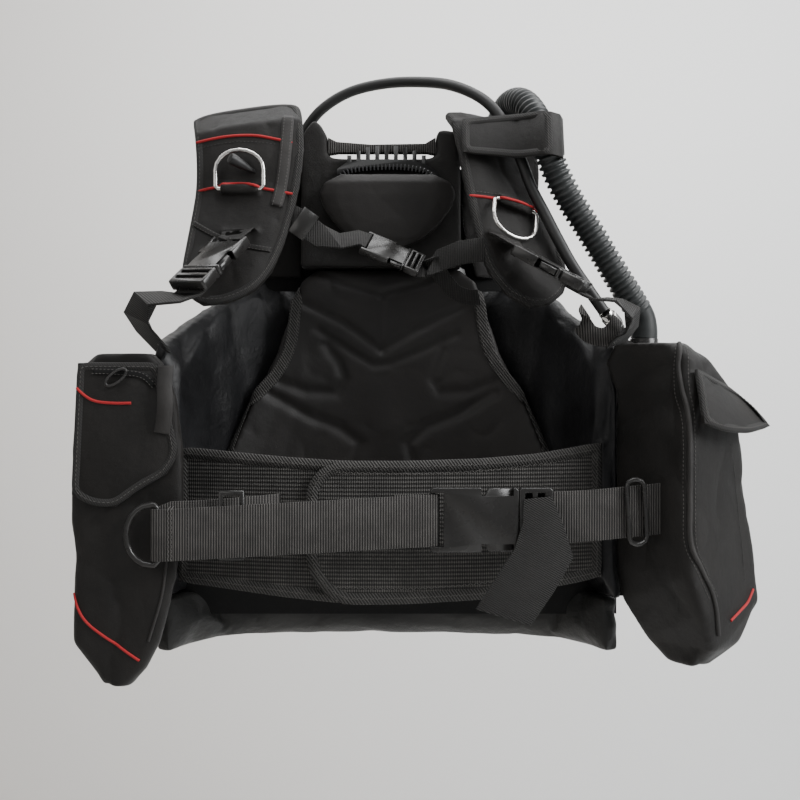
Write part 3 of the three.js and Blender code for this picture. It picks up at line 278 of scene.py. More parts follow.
NYLON = cloth_finish("nylon", (0.0044, 0.0038, 0.0033), (0.0145, 0.0128, 0.0115), 0.58)
SHINY = cloth_finish("shiny_nylon", (0.004, 0.004, 0.0045), (0.016, 0.0163, 0.018), 0.42, 0.2, 0.4)
EDGE = webbing_finish("edge_tape", (1, 0, 0.75), 0.0019, (0.008, 0.0076, 0.0072), (0.034, 0.0322, 0.0305))
LINING = cloth_finish("lining", (0.003, 0.003, 0.003), (0.006, 0.006, 0.006), 0.8)
PAD = pad_finish()
MESH = mesh_finish()
BINDING = webbing_finish("binding", (1, 0, 0.75), 0.0026, (0.010, 0.0095, 0.009), (0.092, 0.088, 0.083))
WEB_ACROSS = webbing_finish("webbing", (1, 0, 0))
FINE = dict(pitch=0.0018, dark=(0.005, 0.0048, 0.0045), light=(0.04, 0.038, 0.036))
WEB_FINE = webbing_finish("webbing_fine", (1, 0, 0), **FINE)
WEB_STEEP = webbing_finish("webbing_steep", (-0.55, 0, -0.83), **FINE)
WEB_STEEP_LEFT = webbing_finish("webbing_steep_left", (0.7, 0, -0.7), **FINE)
# A darker copy of the webbing for the waist strap's tail: painted shade, the tail lying in shadow.
WEB_UPRIGHT_PAINTED_SHADE = webbing_finish("webbing_upright", (0.5, 0, 0.87), 0.0019, (0.004, 0.0038, 0.0036),
                             (0.026, 0.0245, 0.023))
# A lighter cloth: for the tab and the strap's channel, and as a painted highlight along the lit ridges of the
# left pocket's hem and the right pocket's fold.
TRIM_AND_RIDGE_HIGHLIGHT = cloth_finish("trim", (0.016, 0.015, 0.0145), (0.05, 0.047, 0.045), 0.6)
# A lighter copy of the shiny nylon, for the lower air cell: painted sheen.
SHINY_PAINTED_SHEEN = cloth_finish("hem", (0.012, 0.012, 0.0112), (0.03, 0.0295, 0.0275), 0.5, 0.2, 0.6)
WEB_BAND = webbing_finish("webbing_band", (0.8, 0.6, 0))
PLASTIC = plastic_finish("black_plastic", (0.017, 0.0163, 0.0156), 0.28)
BUTTON = plastic_finish("button_plastic", (0.035, 0.035, 0.037), 0.3)
RUBBER = plastic_finish("rubber", (0.0085, 0.0086, 0.0085), 0.5, 0.2)
HOSE = plastic_finish("hose_rubber", (0.021, 0.0235, 0.0235), 0.45, 0.2)
STEEL = steel_finish()
RED = thread_finish("red_piping", (0.46, 0.008, 0.012))
THREAD = thread_finish("thread", (0.125, 0.119, 0.112))
DARK_THREAD = thread_finish("dark_thread", (0.045, 0.043, 0.041))


# ---- meshes ----
FLAT_ANGLE = math.radians(1)  # triangles nearer than this to one plane are one face
BEVEL_ANGLE = math.radians(32)
STRAP_BEVEL_ANGLE = math.radians(40)
MOULDED_ANGLE = math.radians(45)
SWELL_STEPS = 16
CLEARANCE = 0.0003  # left between a swollen piece and its neighbours
CURVE_STEPS = 12  # straight steps between two points of a smooth line


def settle(piece):
    """Turns what a piece's modifiers, curve or nodes make into a plain mesh."""
    seen = piece.evaluated_get(bpy.context.evaluated_depsgraph_get())
    mesh = bpy.data.meshes.new_from_object(seen)
    old = piece.name
    made = piece
    if piece.type == "MESH":
        piece.modifiers.clear()
        piece.data = mesh
    else:
        bpy.data.objects.remove(piece)
        made = link(old, mesh)
        made.name = old
    return made


def welded(mesh):
    """A mesh to edit, with its triangles joined at their corners."""
    build = bmesh.new()
    build.from_mesh(mesh)
    bmesh.ops.remove_doubles(build, verts=build.verts, dist=WELD)
    return build


def copy_of(node, name):
    """A CAD node's mesh as a new piece, with triangles on one plane made one face."""
    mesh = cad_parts[node].data.copy()
    mesh.materials.clear()
    build = welded(mesh)
    bmesh.ops.dissolve_limit(build, angle_limit=FLAT_ANGLE, verts=build.verts, edges=build.edges)
    bmesh.ops.recalc_face_normals(build, faces=build.faces)
    build.to_mesh(mesh)
    build.free()
    return link(name, mesh)


def dress(piece, finish, body=VEST, smooth=True):
    """Gives a piece its finish and the body that it moves with."""
    piece.data.materials.clear()
    piece.data.materials.append(finish)
    if piece.type == "MESH":
        piece.data.polygons.foreach_set("use_smooth", [smooth] * len(piece.data.polygons))
        piece.data.update()
    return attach(piece, body)


def modifier(piece, kind, **settings):
    made = piece.modifiers.new(kind.lower(), kind)
    for name, value in settings.items():
        setattr(made, name, value)
    return made


def shaped(node, finish, slot, body=VEST, sharp=SMOOTH_ANGLE, **bevel):
    """The CAD shape in its finish and its node's place, with its edges broken by a bevel."""
    piece = copy_of(node, f"{node}_made")
    if bevel:
        modifier(piece, "BEVEL", limit_method="ANGLE", **bevel)
        piece = settle(piece)
    dress(piece, finish, body)
    piece.data.set_sharp_from_angle(angle=sharp)
    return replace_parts(piece, node)


def hard(node, finish, slot, body=VEST, edge=0.0005, segments=2):
    """A moulded or metal piece."""
    return shaped(node, finish, slot, body, MOULDED_ANGLE, width=edge, segments=segments,
                  angle_limit=BEVEL_ANGLE, use_clamp_overlap=True, harden_normals=True)


def remesh(piece, voxel, smooth=2):
    modifier(piece, "REMESH", mode="VOXEL", voxel_size=voxel, adaptivity=0.0)
    piece = settle(piece)
    if smooth:
        modifier(piece, "SMOOTH", factor=0.5, iterations=smooth)
        piece = settle(piece)
    return piece


def swell(piece, pressure, cap, shrink, neighbours):
    """Fills a soft piece by cloth under pressure, from a smaller shape, as far as there is room."""
    mesh = piece.data
    start = [v.co - v.normal * shrink for v in mesh.vertices]
    for vertex, place in zip(mesh.vertices, start):
        vertex.co = place
    cloth = piece.modifiers.new("fill", "CLOTH")
    settings = cloth.settings
    settings.quality = 4
    settings.use_pressure = True
    settings.uniform_pressure_force = pressure
    settings.tension_stiffness = 18
    settings.compression_stiffness = 8
    settings.bending_stiffness = 0.4
    settings.effector_weights.gravity = 0
    cloth.collision_settings.use_collision = False
    cloth.point_cache.frame_start = 1
    cloth.point_cache.frame_end = SWELL_STEPS
    scene = bpy.context.scene
    for step in range(SWELL_STEPS):
        scene.frame_set(step + 1)
    piece = settle(piece)
    scene.frame_set(1)
    for vertex, place in zip(piece.data.vertices, start):
        moved = vertex.co - place
        most = min(cap, neighbours.find_nearest(place)[3] - CLEARANCE)
        if moved.length > most:
            vertex.co = place + moved * (most / moved.length)
    return piece


def noise_offset(seed):
    return Vector((seed, seed * 1.7, seed * 0.3))


def stretched(p, stretch):
    return Vector([a * b for a, b in zip(p, stretch)])


def fold(piece, depth, size, stretch=(1, 1, 1), seed=0.0):
    """Presses soft creases into a piece: valleys where the noise turns over."""
    sharp, rise = 7, 0.15
    offset = noise_offset(seed)
    normals = [v.normal.copy() for v in piece.data.vertices]
    for vertex, normal in zip(piece.data.vertices, normals):
        p = vertex.co
        q = stretched(p, stretch) / size + offset
        ridge = abs(noise.noise(q)) + 0.5 * abs(noise.noise(q * 2.1 + offset))
        crease = math.exp(-ridge * sharp) - rise
        vertex.co = p - normal * depth * crease
    return piece


def refine(piece, levels=1):
    modifier(piece, "SUBSURF", levels=levels, render_levels=levels)
    return settle(piece)


def surface_of(piece):
    return BVHTree.FromObject(piece, bpy.context.evaluated_depsgraph_get())


def on_surface(tree, points, lift=0.0):
    """Places and normals where lines of sight from the front meet a surface."""
    found = []
    for point in points:
        place, normal, _, _ = tree.ray_cast(Vector(point) - INWARD * SIGHT, INWARD)
        if place is not None:
            found.append((place + normal * lift, normal))
    return found


def smooth_line(points, count):
    """Evenly spaced points on a smooth curve through a few points."""
    points = [Vector(p) for p in points]
    last = len(points) - 1
    dense = []
    for k in range(last):
        a, b, c, d = (points[max(0, min(last, i))] for i in range(k - 1, k + 3))
        for step in range(CURVE_STEPS):
            t = step / CURVE_STEPS
            dense.append(0.5 * (2 * b + (c - a) * t + (2 * a - 5 * b + 4 * c - d) * t * t
                                + (3 * b - a - 3 * c + d) * t ** 3))
    dense.append(points[-1].copy())
    return even_steps(dense, count)


def even_steps(points, count):
    """Points at even steps along straight spans."""
    reach = [0.0]
    for a, b in zip(points, points[1:]):
        reach.append(reach[-1] + (b - a).length)
    made = []
    k = 0
    for i in range(count):
        want = reach[-1] * i / (count - 1)
        while k < len(points) - 2 and reach[k + 1] < want:
            k += 1
        span = reach[k + 1] - reach[k]
        part = (want - reach[k]) / span if span > 0 else 0
        made.append(points[k].lerp(points[k + 1], min(1, max(0, part))))
    return made


def rod(name, points, radius, sides=8, closed=False):
    """A round rod or piping along points."""
    curve = bpy.data.curves.new(name, "CURVE")
    curve.dimensions = "3D"
    curve.bevel_depth = radius
    curve.bevel_resolution = max(1, sides // 4)
    curve.use_fill_caps = True
    spline = curve.splines.new("POLY")
    spline.points.add(len(points) - 1)
    for knot, place in zip(spline.points, points):
        knot.co = (*place, 1.0)
    spline.use_cyclic_u = closed
    return link(name, curve)


def swept(name, frames, section, closed=False):
    """A section carried along frames of place, inward direction and outward normal."""
    build = bmesh.new()
    rings = []
    for place, inward, normal in frames:
        rings.append([build.verts.new(place + inward * a + normal * b) for a, b in section])
    n = len(section)
    last = len(rings) if closed else len(rings) - 1
    for i in range(last):
        here, there = rings[i], rings[(i + 1) % len(rings)]
        for j in range(n):
            build.faces.new((here[j], here[(j + 1) % n], there[(j + 1) % n], there[j]))
    if not closed:
        build.faces.new(rings[0][::-1])
        build.faces.new(rings[-1])
    bmesh.ops.recalc_face_normals(build, faces=build.faces)
    mesh = bpy.data.meshes.new(name)
    build.to_mesh(mesh)
    build.free()
    return link(name, mesh)


# ---- what repeats, by geometry nodes ----
class Pattern(Tree):
    """A geometry node tree with named inputs."""

    def __init__(self, name, sizes):
        super().__init__(bpy.data.node_groups.new(name, "GeometryNodeTree"))
        face = self.tree.interface
        face.new_socket("Geometry", in_out="INPUT", socket_type="NodeSocketGeometry")
        self.keys = {}
        for label, value in sizes.items():
            kind = "NodeSocketMaterial" if label == "Finish" else "NodeSocketFloat"
            socket = face.new_socket(label, in_out="INPUT", socket_type=kind)
            if value is not None:
                socket.default_value = value
            self.keys[label] = socket.identifier
        face.new_socket("Geometry", in_out="OUTPUT", socket_type="NodeSocketGeometry")
        self.inputs = self.tree.nodes.new("NodeGroupInput")

    def size(self, label):
        return Value(self, self.inputs.outputs[label])

    def finish(self, geometry):
        real = self.node("GeometryNodeRealizeInstances", None, [geometry])
        painted = self.node("GeometryNodeSetMaterial", None,
                            {"Geometry": real, "Material": self.size("Finish")})
        self.node("NodeGroupOutput", None, [painted])

    def run(self, line, slot, body=VEST, **sizes):
        """Turns a line into what the pattern makes along it, on its body; its slot is not used."""
        made = line.modifiers.new(self.tree.name, "NODES")
        made.node_group = self.tree
        for label, value in sizes.items():
            made[self.keys[label]] = value
        piece = settle(line)
        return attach(piece, body)


def stitch_pattern():
    """Short stitches along a line, straight or turned this way and that."""
    t = Pattern("stitches", {"Pitch": 0.0045, "Length": 0.003, "Width": 0.0007, "Turn": 0.0, "Finish": None})
    steps = t.node("GeometryNodeResampleCurve", {"mode": "LENGTH"},
                   {"Curve": t.size("Geometry"), "Length": t.size("Pitch")})
    points = t.node("GeometryNodeCurveToPoints", {"mode": "EVALUATED"}, {"Curve": steps})
    tangent = points.output("Tangent")
    lean = t.node("FunctionNodeAlignRotationToVector", {"axis": "X"}, {"Vector": tangent})
    index = t.node("GeometryNodeInputIndex")
    odd = t.node("ShaderNodeMath", {"operation": "MODULO"}, [index, 2.0])
    swing = (odd * 2.0 - 1.0) * t.size("Turn")
    spin = t.node("FunctionNodeAxisAngleToRotation", None, {"Axis": (0, 1, 0), "Angle": swing})
    turned = t.node("FunctionNodeRotateRotation", {"rotation_space": "GLOBAL"},
                    {"Rotation": lean, "Rotate By": spin})
    size = t.node("ShaderNodeCombineXYZ", None, [t.size("Length"), t.size("Width"), t.size("Width")])
    yarn = t.node("GeometryNodeMeshIcoSphere", None, {"Radius": 0.5, "Subdivisions": 1}, "Mesh")
    placed = t.node("GeometryNodeInstanceOnPoints", None,
                    {"Points": points, "Instance": yarn, "Rotation": turned, "Scale": size})
    t.finish(placed)
    return t


def corrugation_pattern():
    """A hose wall drawn along a curve, ribbed between two plain cuffs."""
    t = Pattern("corrugated_wall", {"Radius": 0.015, "Pitch": 0.0066, "Depth": 0.0028, "Length": 0.44,
                                    "Cuff": 0.03, "Finish": None})
    fine = t.node("GeometryNodeResampleCurve", {"mode": "LENGTH"},
                  {"Curve": t.size("Geometry"), "Length": 0.0011})
    gone = t.node("GeometryNodeSplineParameter", None, None, "Length")
    wave = (gone * 2 * math.pi / t.size("Pitch")).sine()
    crest = t.node("ShaderNodeClamp", None, {"Value": wave * 1.6 + 0.55, "Min": 0.0, "Max": 1.0})
    inside = gone.over(t.size("Cuff")) * (t.size("Length") - gone).over(t.size("Cuff"))
    radius = t.size("Radius") - (1 - crest) * t.size("Depth") * inside - 0.0008 * (1 - inside)
    ring = t.node("GeometryNodeCurvePrimitiveCircle", None, {"Resolution": 32, "Radius": 1.0})
    wall = t.node("GeometryNodeCurveToMesh", None,
                  {"Curve": fine, "Profile Curve": ring, "Scale": radius, "Fill Caps": True})
    t.finish(wall)
    return t


STITCHES = stitch_pattern()
CORRUGATION = corrugation_pattern()


def stitches(name, points, finish=THREAD, pitch=0.0045, length=0.003, width=0.0007, turn=0.0,
             body=VEST, slot="nylon"):
    """A row of stitches along points that lie on a surface."""
    if len(points) < 2:
        return None
    line = rod(name, points, 0.0)
    return STITCHES.run(line, slot, body, Pitch=pitch, Length=length, Width=width, Turn=turn,
                        Finish=finish)


def piping(name, tree, points, radius=0.0014, body=VEST):
    """Red piping on a surface, through points given by X and Z in millimetres."""
    line = smooth_line([at(x, 0, z) for x, z in points], 60)
    line = [place for place, _ in on_surface(tree, line, 0.0003)]
    if len(line) < 3:
        return None
    return dress(settle(rod(name, line, radius)), RED, body)


def on_front(piece, points, count=40, lift=0.0):
    """A smooth line on a piece's front, through points given by X and Z in millimetres."""
    return on_surface(surface_of(piece), smooth_line([at(x, 0, z) for x, z in points], count), lift)


# ---- rims and bindings ----
ZIGZAG = math.radians(38)
BINDING_LIFT = 0.0006  # how far binding tape stands off the cloth


def length_of(line):
    return sum((a - b).length for a, b in zip(line, line[1:]))


def rim_of(node, start, corner=34):
    """The closed edge round the face that a line of sight first meets on a CAD node. The face
    goes on over bends of up to `corner` degrees."""
    build = welded(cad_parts[node].data)
    bmesh.ops.recalc_face_normals(build, faces=build.faces)
    build.faces.ensure_lookup_table()
    tree = BVHTree.FromBMesh(build)
    _, _, seed, _ = tree.ray_cast(Vector(start) - INWARD * RIM_SIGHT, INWARD)
    region = {seed}
    queue = [build.faces[seed]]
    limit = math.cos(math.radians(corner))
    while queue:
        face = queue.pop()
        for edge in face.edges:
            for other in edge.link_faces:
                if other.index not in region and face.normal.dot(other.normal) > limit:
                    region.add(other.index)
                    queue.append(other)
    onward = {}
    for index in region:
        for loop in build.faces[index].loops:
            beyond = [f for f in loop.edge.link_faces if f.index not in region]
            if beyond:
                onward.setdefault(loop.vert.index, []).append((loop.link_loop_next.vert.index, index))
    build.verts.ensure_lookup_table()
    best = []
    while onward:
        first = next(iter(onward))
        here = first
        loop = []
        while here in onward:
            there, face = onward[here].pop()
            if not onward[here]:
                del onward[here]
            loop.append((build.verts[here].co.copy(), build.faces[face].normal.copy()))
            here = there
            if here == first:
                break
        if length_of([p for p, _ in loop]) > length_of([p for p, _ in best]):
            best = loop
    build.free()
    return best


def rim_frames(loop, step=0.006, ease=2):
    """Even frames round a rim: place, direction into the piece, and the face's outward normal."""
    places = [p for p, _ in loop] + [loop[0][0]]
    count = max(12, int(length_of(places) / step))
    points = even_steps(places, count + 1)[:-1]
    for _ in range(ease):
        points = [(points[i - 1] + points[i] * 2 + points[(i + 1) % count]) / 4 for i in range(count)]
    frames = []
    for i, place in enumerate(points):
        nearest = min(loop, key=lambda item: (item[0] - place).length_squared)
        along = (points[(i + 1) % count] - points[i - 1]).normalized()
        normal = (nearest[1] - along * nearest[1].dot(along)).normalized()
        frames.append([place, normal.cross(along).normalized(), normal])
    for _ in range(3):
        inward = [f[1] for f in frames]
        normal = [f[2] for f in frames]
        for i, f in enumerate(frames):
            f[1] = (inward[i - 1] + inward[i] + inward[(i + 1) % count]).normalized()
            f[2] = (normal[i - 1] + normal[i] + normal[(i + 1) % count]).normalized()
    return frames


def bind_edge(name, frames, depth, tape, body=VEST, zigzag=True, finish=BINDING):
    """Binding tape folded over an edge, and the stitches that hold it."""
    outer = 0.0005
    lift = BINDING_LIFT
    section = [(tape, lift * 0.3), (tape * 0.5, lift), (0.0, lift * 0.8), (-outer, -depth * 0.15),
               (-outer * 1.4, -depth * 0.5), (-outer, -depth * 0.85), (0.0, -depth - lift * 0.8),
               (tape * 0.5, -depth - lift), (tape, -depth - lift * 0.3), (tape, -depth + 0.0002),
               (0.0012, -depth + 0.0006), (0.0012, -0.0006), (tape, -0.0002)]
    piece = swept(name, frames, section, closed=True)
    dress(piece, finish, body)
    line = [place + inward * tape * 0.5 + normal * (lift + 0.0002) for place, inward, normal in frames]
    pitch, turn = (0.0026, ZIGZAG) if zigzag else (0.0045, 0.0)
    stitches(f"{name}_stitches", line + [line[0]], pitch=pitch, length=0.0034, width=0.0006,
             turn=turn, body=body)
    return piece


def at(x, y, z):
    """A point from millimetres."""
    return Vector((x, y, z)) * MM


def cad_surface(nodes):
    """One surface of some CAD nodes."""
    places, faces = [], []
    for node in nodes:
        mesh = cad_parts[node].data
        start = len(places)
        places += [v.co.copy() for v in mesh.vertices]
        faces += [[start + i for i in face.vertices] for face in mesh.polygons]
    return BVHTree.FromPolygons(places, faces)


def everything_but(node):
    return cad_surface(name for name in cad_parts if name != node)


def room_at(tree, place):
    """0 beside a neighbour, 1 well clear of all of them."""
    near, far = 0.0005, 0.008
    gap = tree.find_nearest(place)[3]
    return min(1.0, max(0.0, (gap - near) / (far - near)))


def to_line(point, line):
    """The least distance from a point to a line of points, on the XZ plane."""
    best = 9.0
    for a, b in zip(line, line[1:]):
        dx, dz = b[0] - a[0], b[1] - a[1]
        t = ((point.x - a[0]) * dx + (point.z - a[1]) * dz) / (dx * dx + dz * dz)
        t = min(1.0, max(0.0, t))
        best = min(best, math.hypot(point.x - a[0] - t * dx, point.z - a[1] - t * dz))
    return best


FRONT_FACING = -0.25  # a normal's Y is under this on the face away from the wearer


def emboss(piece, grooves, neighbours):
    """Presses grooves (lines on the XZ plane in mm, depth, width) into the front face."""
    for vertex in piece.data.vertices:
        if vertex.normal.y > FRONT_FACING:
            continue
        push = 0.0
        for line, depth, width in grooves:
            gap = to_line(vertex.co, [(x * MM, z * MM) for x, z in line])
            if gap < width * 3:
                push += depth * math.exp(-(gap / width) ** 2)
        if push < 0:
            push *= room_at(neighbours, vertex.co)
        vertex.co.y += push
    return piece


def crumple(piece, depth, size, neighbours, stretch=(1, 1, 1), seed=0.0, sharp=5.0, outward=0.5):
    """Moves a piece's cloth in and out in soft creases, less where a neighbour is near."""
    low, high = (Vector(corner) for corner in (piece.bound_box[0], piece.bound_box[6]))
    middle = (low + high) / 2
    reach = high - low
    offset = noise_offset(seed)
    for vertex in piece.data.vertices:
        p = vertex.co
        away = Vector([(p[i] - middle[i]) / reach[i] for i in range(3)])
        away.z *= 0.5
        away.normalize()
        q = stretched(p, stretch) / size + offset
        q += noise.noise_vector(q * 0.7) * 0.5
        ridge = abs(noise.noise(q)) + 0.45 * abs(noise.noise(q * 2.3 + offset))
        move = outward - math.exp(-ridge * sharp)
        vertex.co = p + away * depth * move * room_at(neighbours, p)
    return piece


# ---- the hoses ----
HOSE_LINE = smooth_line([at(*p) for p in [
    (120, 20, 252.4), (120, 20, 272), (122, 11, 298), (129, -20, 323), (137, -55, 331), (148, -90, 321),
    (160, -113, 294), (168, -122, 264), (178, -121, 238), (194, -116, 210), (214, -112, 180),
    (241, -106, 138), (262, -98, 108), (274, -92, 90), (277, -91, 76), (277, -91, 66.4)]], 120)
LP_LINE = smooth_line([at(*p) for p in [
    (224, -140, 92), (208, -142, 114), (191, -138, 141), (177, -130, 170), (165, -122, 197),
    (152, -116, 225), (139, -111, 262), (123, -108, 296), (104, -98, 322), (76, -76, 343), (46, -50, 356),
    (0, -24, 363), (-44, -14, 356), (-78, -8, 337), (-100, 4, 312), (-114, 18, 280), (-118, 25, 245),
    (-114, 26, 214)]], 160)
HOSE_RADIUS = 0.015
LP_RADIUS = 0.006


def make_hoses():
    line = rod("inflator_hose", HOSE_LINE, 0.0)
    long = length_of(HOSE_LINE)
    hose = CORRUGATION.run(line, "hose_rubber", Radius=HOSE_RADIUS, Pitch=0.0064, Depth=0.0031,
                           Length=long, Cuff=0.034, Finish=HOSE)
    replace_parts(hose, "corrugated_hose")
    feed = rod("feed_hose", LP_LINE, LP_RADIUS, 16)
    feed.data.bevel_resolution = 6
    dress(feed, RUBBER)
    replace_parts(feed, "lp_hose")
    fitting = hard("lp_fitting", STEEL, "steel", edge=0.0004)


make_hoses()

# ---- moulded and metal pieces ----
for node in ("backpack_shell", "cam_buckle_body", "hose_elbow", "waist_slider", "chest_slider"):
    hard(node, PLASTIC, "black_plastic")
hard("cam_buckle_lever", PLASTIC, "black_plastic", "cam_buckle_lever")
hard("neck_comb", RUBBER, "rubber", edge=0.0008)
hard("inflator_body", PLASTIC, "black_plastic", edge=0.0009, segments=3)
hard("mouthpiece", RUBBER, "rubber", edge=0.001, segments=3)
hard("dump_valve_rear", PLASTIC, "black_plastic", edge=0.0008)
hard("dump_toggle_rear", RUBBER, "rubber", "dump_toggle_rear")
for node in ("inflate_button", "deflate_button"):
    hard(node, BUTTON, "button_plastic", node)
hard("lp_coupling", STEEL, "steel", edge=0.0004)
hard("dump_toggle", RUBBER, "rubber", "dump_toggle", edge=0.0008, segments=3)
hard("waist_ring_left", PLASTIC, "black_plastic", edge=0.0012, segments=3)
hard("waist_ring_right", PLASTIC, "black_plastic", "waist_ring_right", edge=0.0014, segments=3)
for side in ("waist", "shoulder_right", "shoulder_left", "chest"):
    edge = {"waist": 0.0014, "chest": 0.0007}.get(side, 0.001)
    for part in ("socket", "plug"):
        hard(f"{side}_buckle_{part}", PLASTIC, "black_plastic", edge=edge, segments=3)
    if side != "chest":
        for part in ("upper", "lower"):
            prong = f"{side}_prong_{part}"
            hard(prong, PLASTIC, "black_plastic", prong, edge=edge * 0.7)


def wire(node):
    """A steel ring: the CAD shape rounded off."""
    piece = remesh(copy_of(node, f"{node}_made"), voxel=0.0007, smooth=6)
    dress(piece, STEEL, node)
    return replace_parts(piece, node)


wire("shoulder_ring_right")
wire("shoulder_ring_left")


# ---- webbing ----
# The waist strap's tail takes the darker webbing copy, which is painted shade.
for node, finish in (("tank_band", WEB_BAND), ("carry_handle", WEB_ACROSS),
                     ("waist_strap_right", WEB_ACROSS), ("waist_strap_left", WEB_ACROSS),
                     ("waist_strap_tail", WEB_UPRIGHT_PAINTED_SHADE), ("chest_strap_right", WEB_FINE),
                     ("chest_strap_left", WEB_FINE), ("shoulder_webbing_right", WEB_STEEP),
                     ("shoulder_webbing_left", WEB_STEEP_LEFT)):
    shaped(node, finish, "webbing", width=0.0005, segments=2, angle_limit=STRAP_BEVEL_ANGLE,
           use_clamp_overlap=True)


# ---- belts ----
def belt(node, start):
    """A half of the cummerbund in mesh, its rim bound with tape."""
    shaped(node, MESH, "belt_mesh")
    bind_edge(f"{node}_binding", rim_frames(rim_of(node, start)), depth=0.0045, tape=0.011)


belt("cummerbund_right", at(-130, -160, -130))
belt("cummerbund_left", at(60, -190, -130))


# ---- soft pieces ----
def cover(piece, node, finish, fill):
    """Smooths a soft piece and puts it in its node's place; its fill is not used."""
    piece = refine(piece)
    dress(piece, finish)
    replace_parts(piece, node)
    return piece if fill else piece


def soft(node, finish, slot, voxel, crease, size, seed, stretch=(1, 1, 1), outward=0.5, sharp=5.0,
         pressure=0, cap=0, shrink=0, fill=None):
    """A cloth piece, swollen if it holds pressure and then creased."""
    neighbours = everything_but(node)
    piece = remesh(copy_of(node, f"{node}_made"), voxel)
    if pressure:
        piece = swell(piece, pressure, cap, shrink, neighbours)
    crumple(piece, crease, size, neighbours, stretch, seed, sharp, outward)
    return cover(piece, node, finish, fill)


CREASED = dict(pressure=4.0, cap=0.007, shrink=0.001, fill=0.4)
for node, seed in (("air_cell_right", 1.3), ("air_cell_left", 4.1)):
    soft(node, SHINY, "shiny_nylon", 0.005, crease=0.013, size=0.14, sharp=3.0, seed=seed,
         outward=0.62, **CREASED)
# The lower cell wears the lighter copy of the shiny nylon, a painted sheen.
soft("air_cell_lower", SHINY_PAINTED_SHEEN, "shiny_nylon", 0.004, crease=0.008, size=0.07, seed=2.7, outward=0.8,
     stretch=(0.6, 1, 1.2), **CREASED)
soft("pocket_right", NYLON, "nylon", 0.0032, crease=0.0042, size=0.06, seed=7.2, stretch=(1, 1, 0.5))
soft("pocket_left", NYLON, "nylon", 0.0032, crease=0.0042, size=0.07, seed=3.6, stretch=(1, 1, 0.6))
soft("neck_pad", PAD, "pad_fabric", 0.0025, crease=0.0006, size=0.05, seed=0.4, fill=0.85)
soft("yoke", NYLON, "nylon", 0.0035, crease=0.0012, size=0.05, seed=5.5, outward=0.8, fill=0.7)


def make_back_pad():
    """The back pad: foam pressed into grooves, with a binding tape down each side."""
    piece = remesh(copy_of("back_pad", "back_pad_made"), voxel=0.003, smooth=6)
    grooves = [
        ([(-89, 150), (-51, 132), (-8, 120), (37, 132), (75, 150)], 0.0030, 0.005),
        ([(-96, 109), (-51, 87), (-8, 56), (37, 82), (84, 105)], 0.0034, 0.005),
        ([(-80, 80), (-51, 60), (-17, 39), (2, 41), (39, 56), (77, 74)], 0.0030, 0.0045),
        ([(-70, 62), (-56, 42), (-50, 24), (-58, 8), (-92, 10), (-122, 20)], 0.0036, 0.006),
        ([(62, 56), (56, 42), (50, 24), (58, 8), (92, 10), (118, 20)], 0.0030, 0.006),
        ([(-134, 8), (-88, -19), (-58, -30), (-32, -49), (-40, -70), (-44, -120)], 0.0036, 0.006),
        ([(118, 8), (78, -16), (44, -30), (22, -49), (28, -70), (32, -120)], 0.0036, 0.006),
        ([(-8, 120), (-8, 56)], 0.0016, 0.004),
        ([(-96, 4), (-110, 60), (-98, 120)], -0.0025, 0.03),
        ([(-16, 10), (0, -30)], -0.003, 0.022)]
    emboss(piece, grooves, everything_but("back_pad"))
    fold(piece, depth=0.0012, size=0.06, seed=2.2)
    tree = surface_of(cover(piece, "back_pad", PAD, 0.85))
    for side, line in (("right", [(-100, 140), (-104, 108), (-110, 62), (-124, 31), (-144, 8),
                                  (-162, -18), (-172, -45), (-174, -90)]),
                       ("left", [(100, 140), (103, 108), (111, 62), (126, 32), (145, 8), (163, -18),
                                 (172, -45), (174, -90)])):
        points = smooth_line([at(x, 0, z) for x, z in line], 60)
        tape_along(f"back_pad_binding_{side}", on_surface(tree, points, 0.0004), width=0.013)


def tape_along(name, found, width, finish=BINDING, body=VEST, thick=0.0011):
    """A flat tape laid on a surface, with a row of stitches near each edge."""
    if len(found) < 4:
        return None
    frames = []
    for i, (place, normal) in enumerate(found):
        ahead = found[min(i + 1, len(found) - 1)][0] - found[max(i - 1, 0)][0]
        side = ahead.cross(normal).normalized()
        lift = side.cross(ahead).normalized()
        frames.append((place, side, lift if lift.dot(normal) > 0 else -lift))
    half = width / 2
    section = [(-half, 0.0), (-half * 0.96, thick * 0.8), (-half * 0.6, thick * 1.2),
               (half * 0.6, thick * 1.2), (half * 0.96, thick * 0.8), (half, 0.0), (0.0, -0.0004)]
    piece = swept(name, frames, section)
    dress(piece, finish, body)
    for label, across in (("a", -0.62), ("b", 0.62)):
        line = [p + s * half * across + n * thick * 1.2 for p, s, n in frames]
        stitches(f"{name}_stitches_{label}", line, pitch=0.0036, length=0.0025, width=0.0006,
                 turn=0, body=body)
    return piece


make_back_pad()


# ---- shoulder straps ----
def shoulder(node, seed):
    piece = remesh(copy_of(node, f"{node}_made"), voxel=0.0024, smooth=5)
    fold(piece, depth=0.0016, size=0.055, stretch=(1, 1, 0.6), seed=seed)
    return cover(piece, node, NYLON, 0.8)


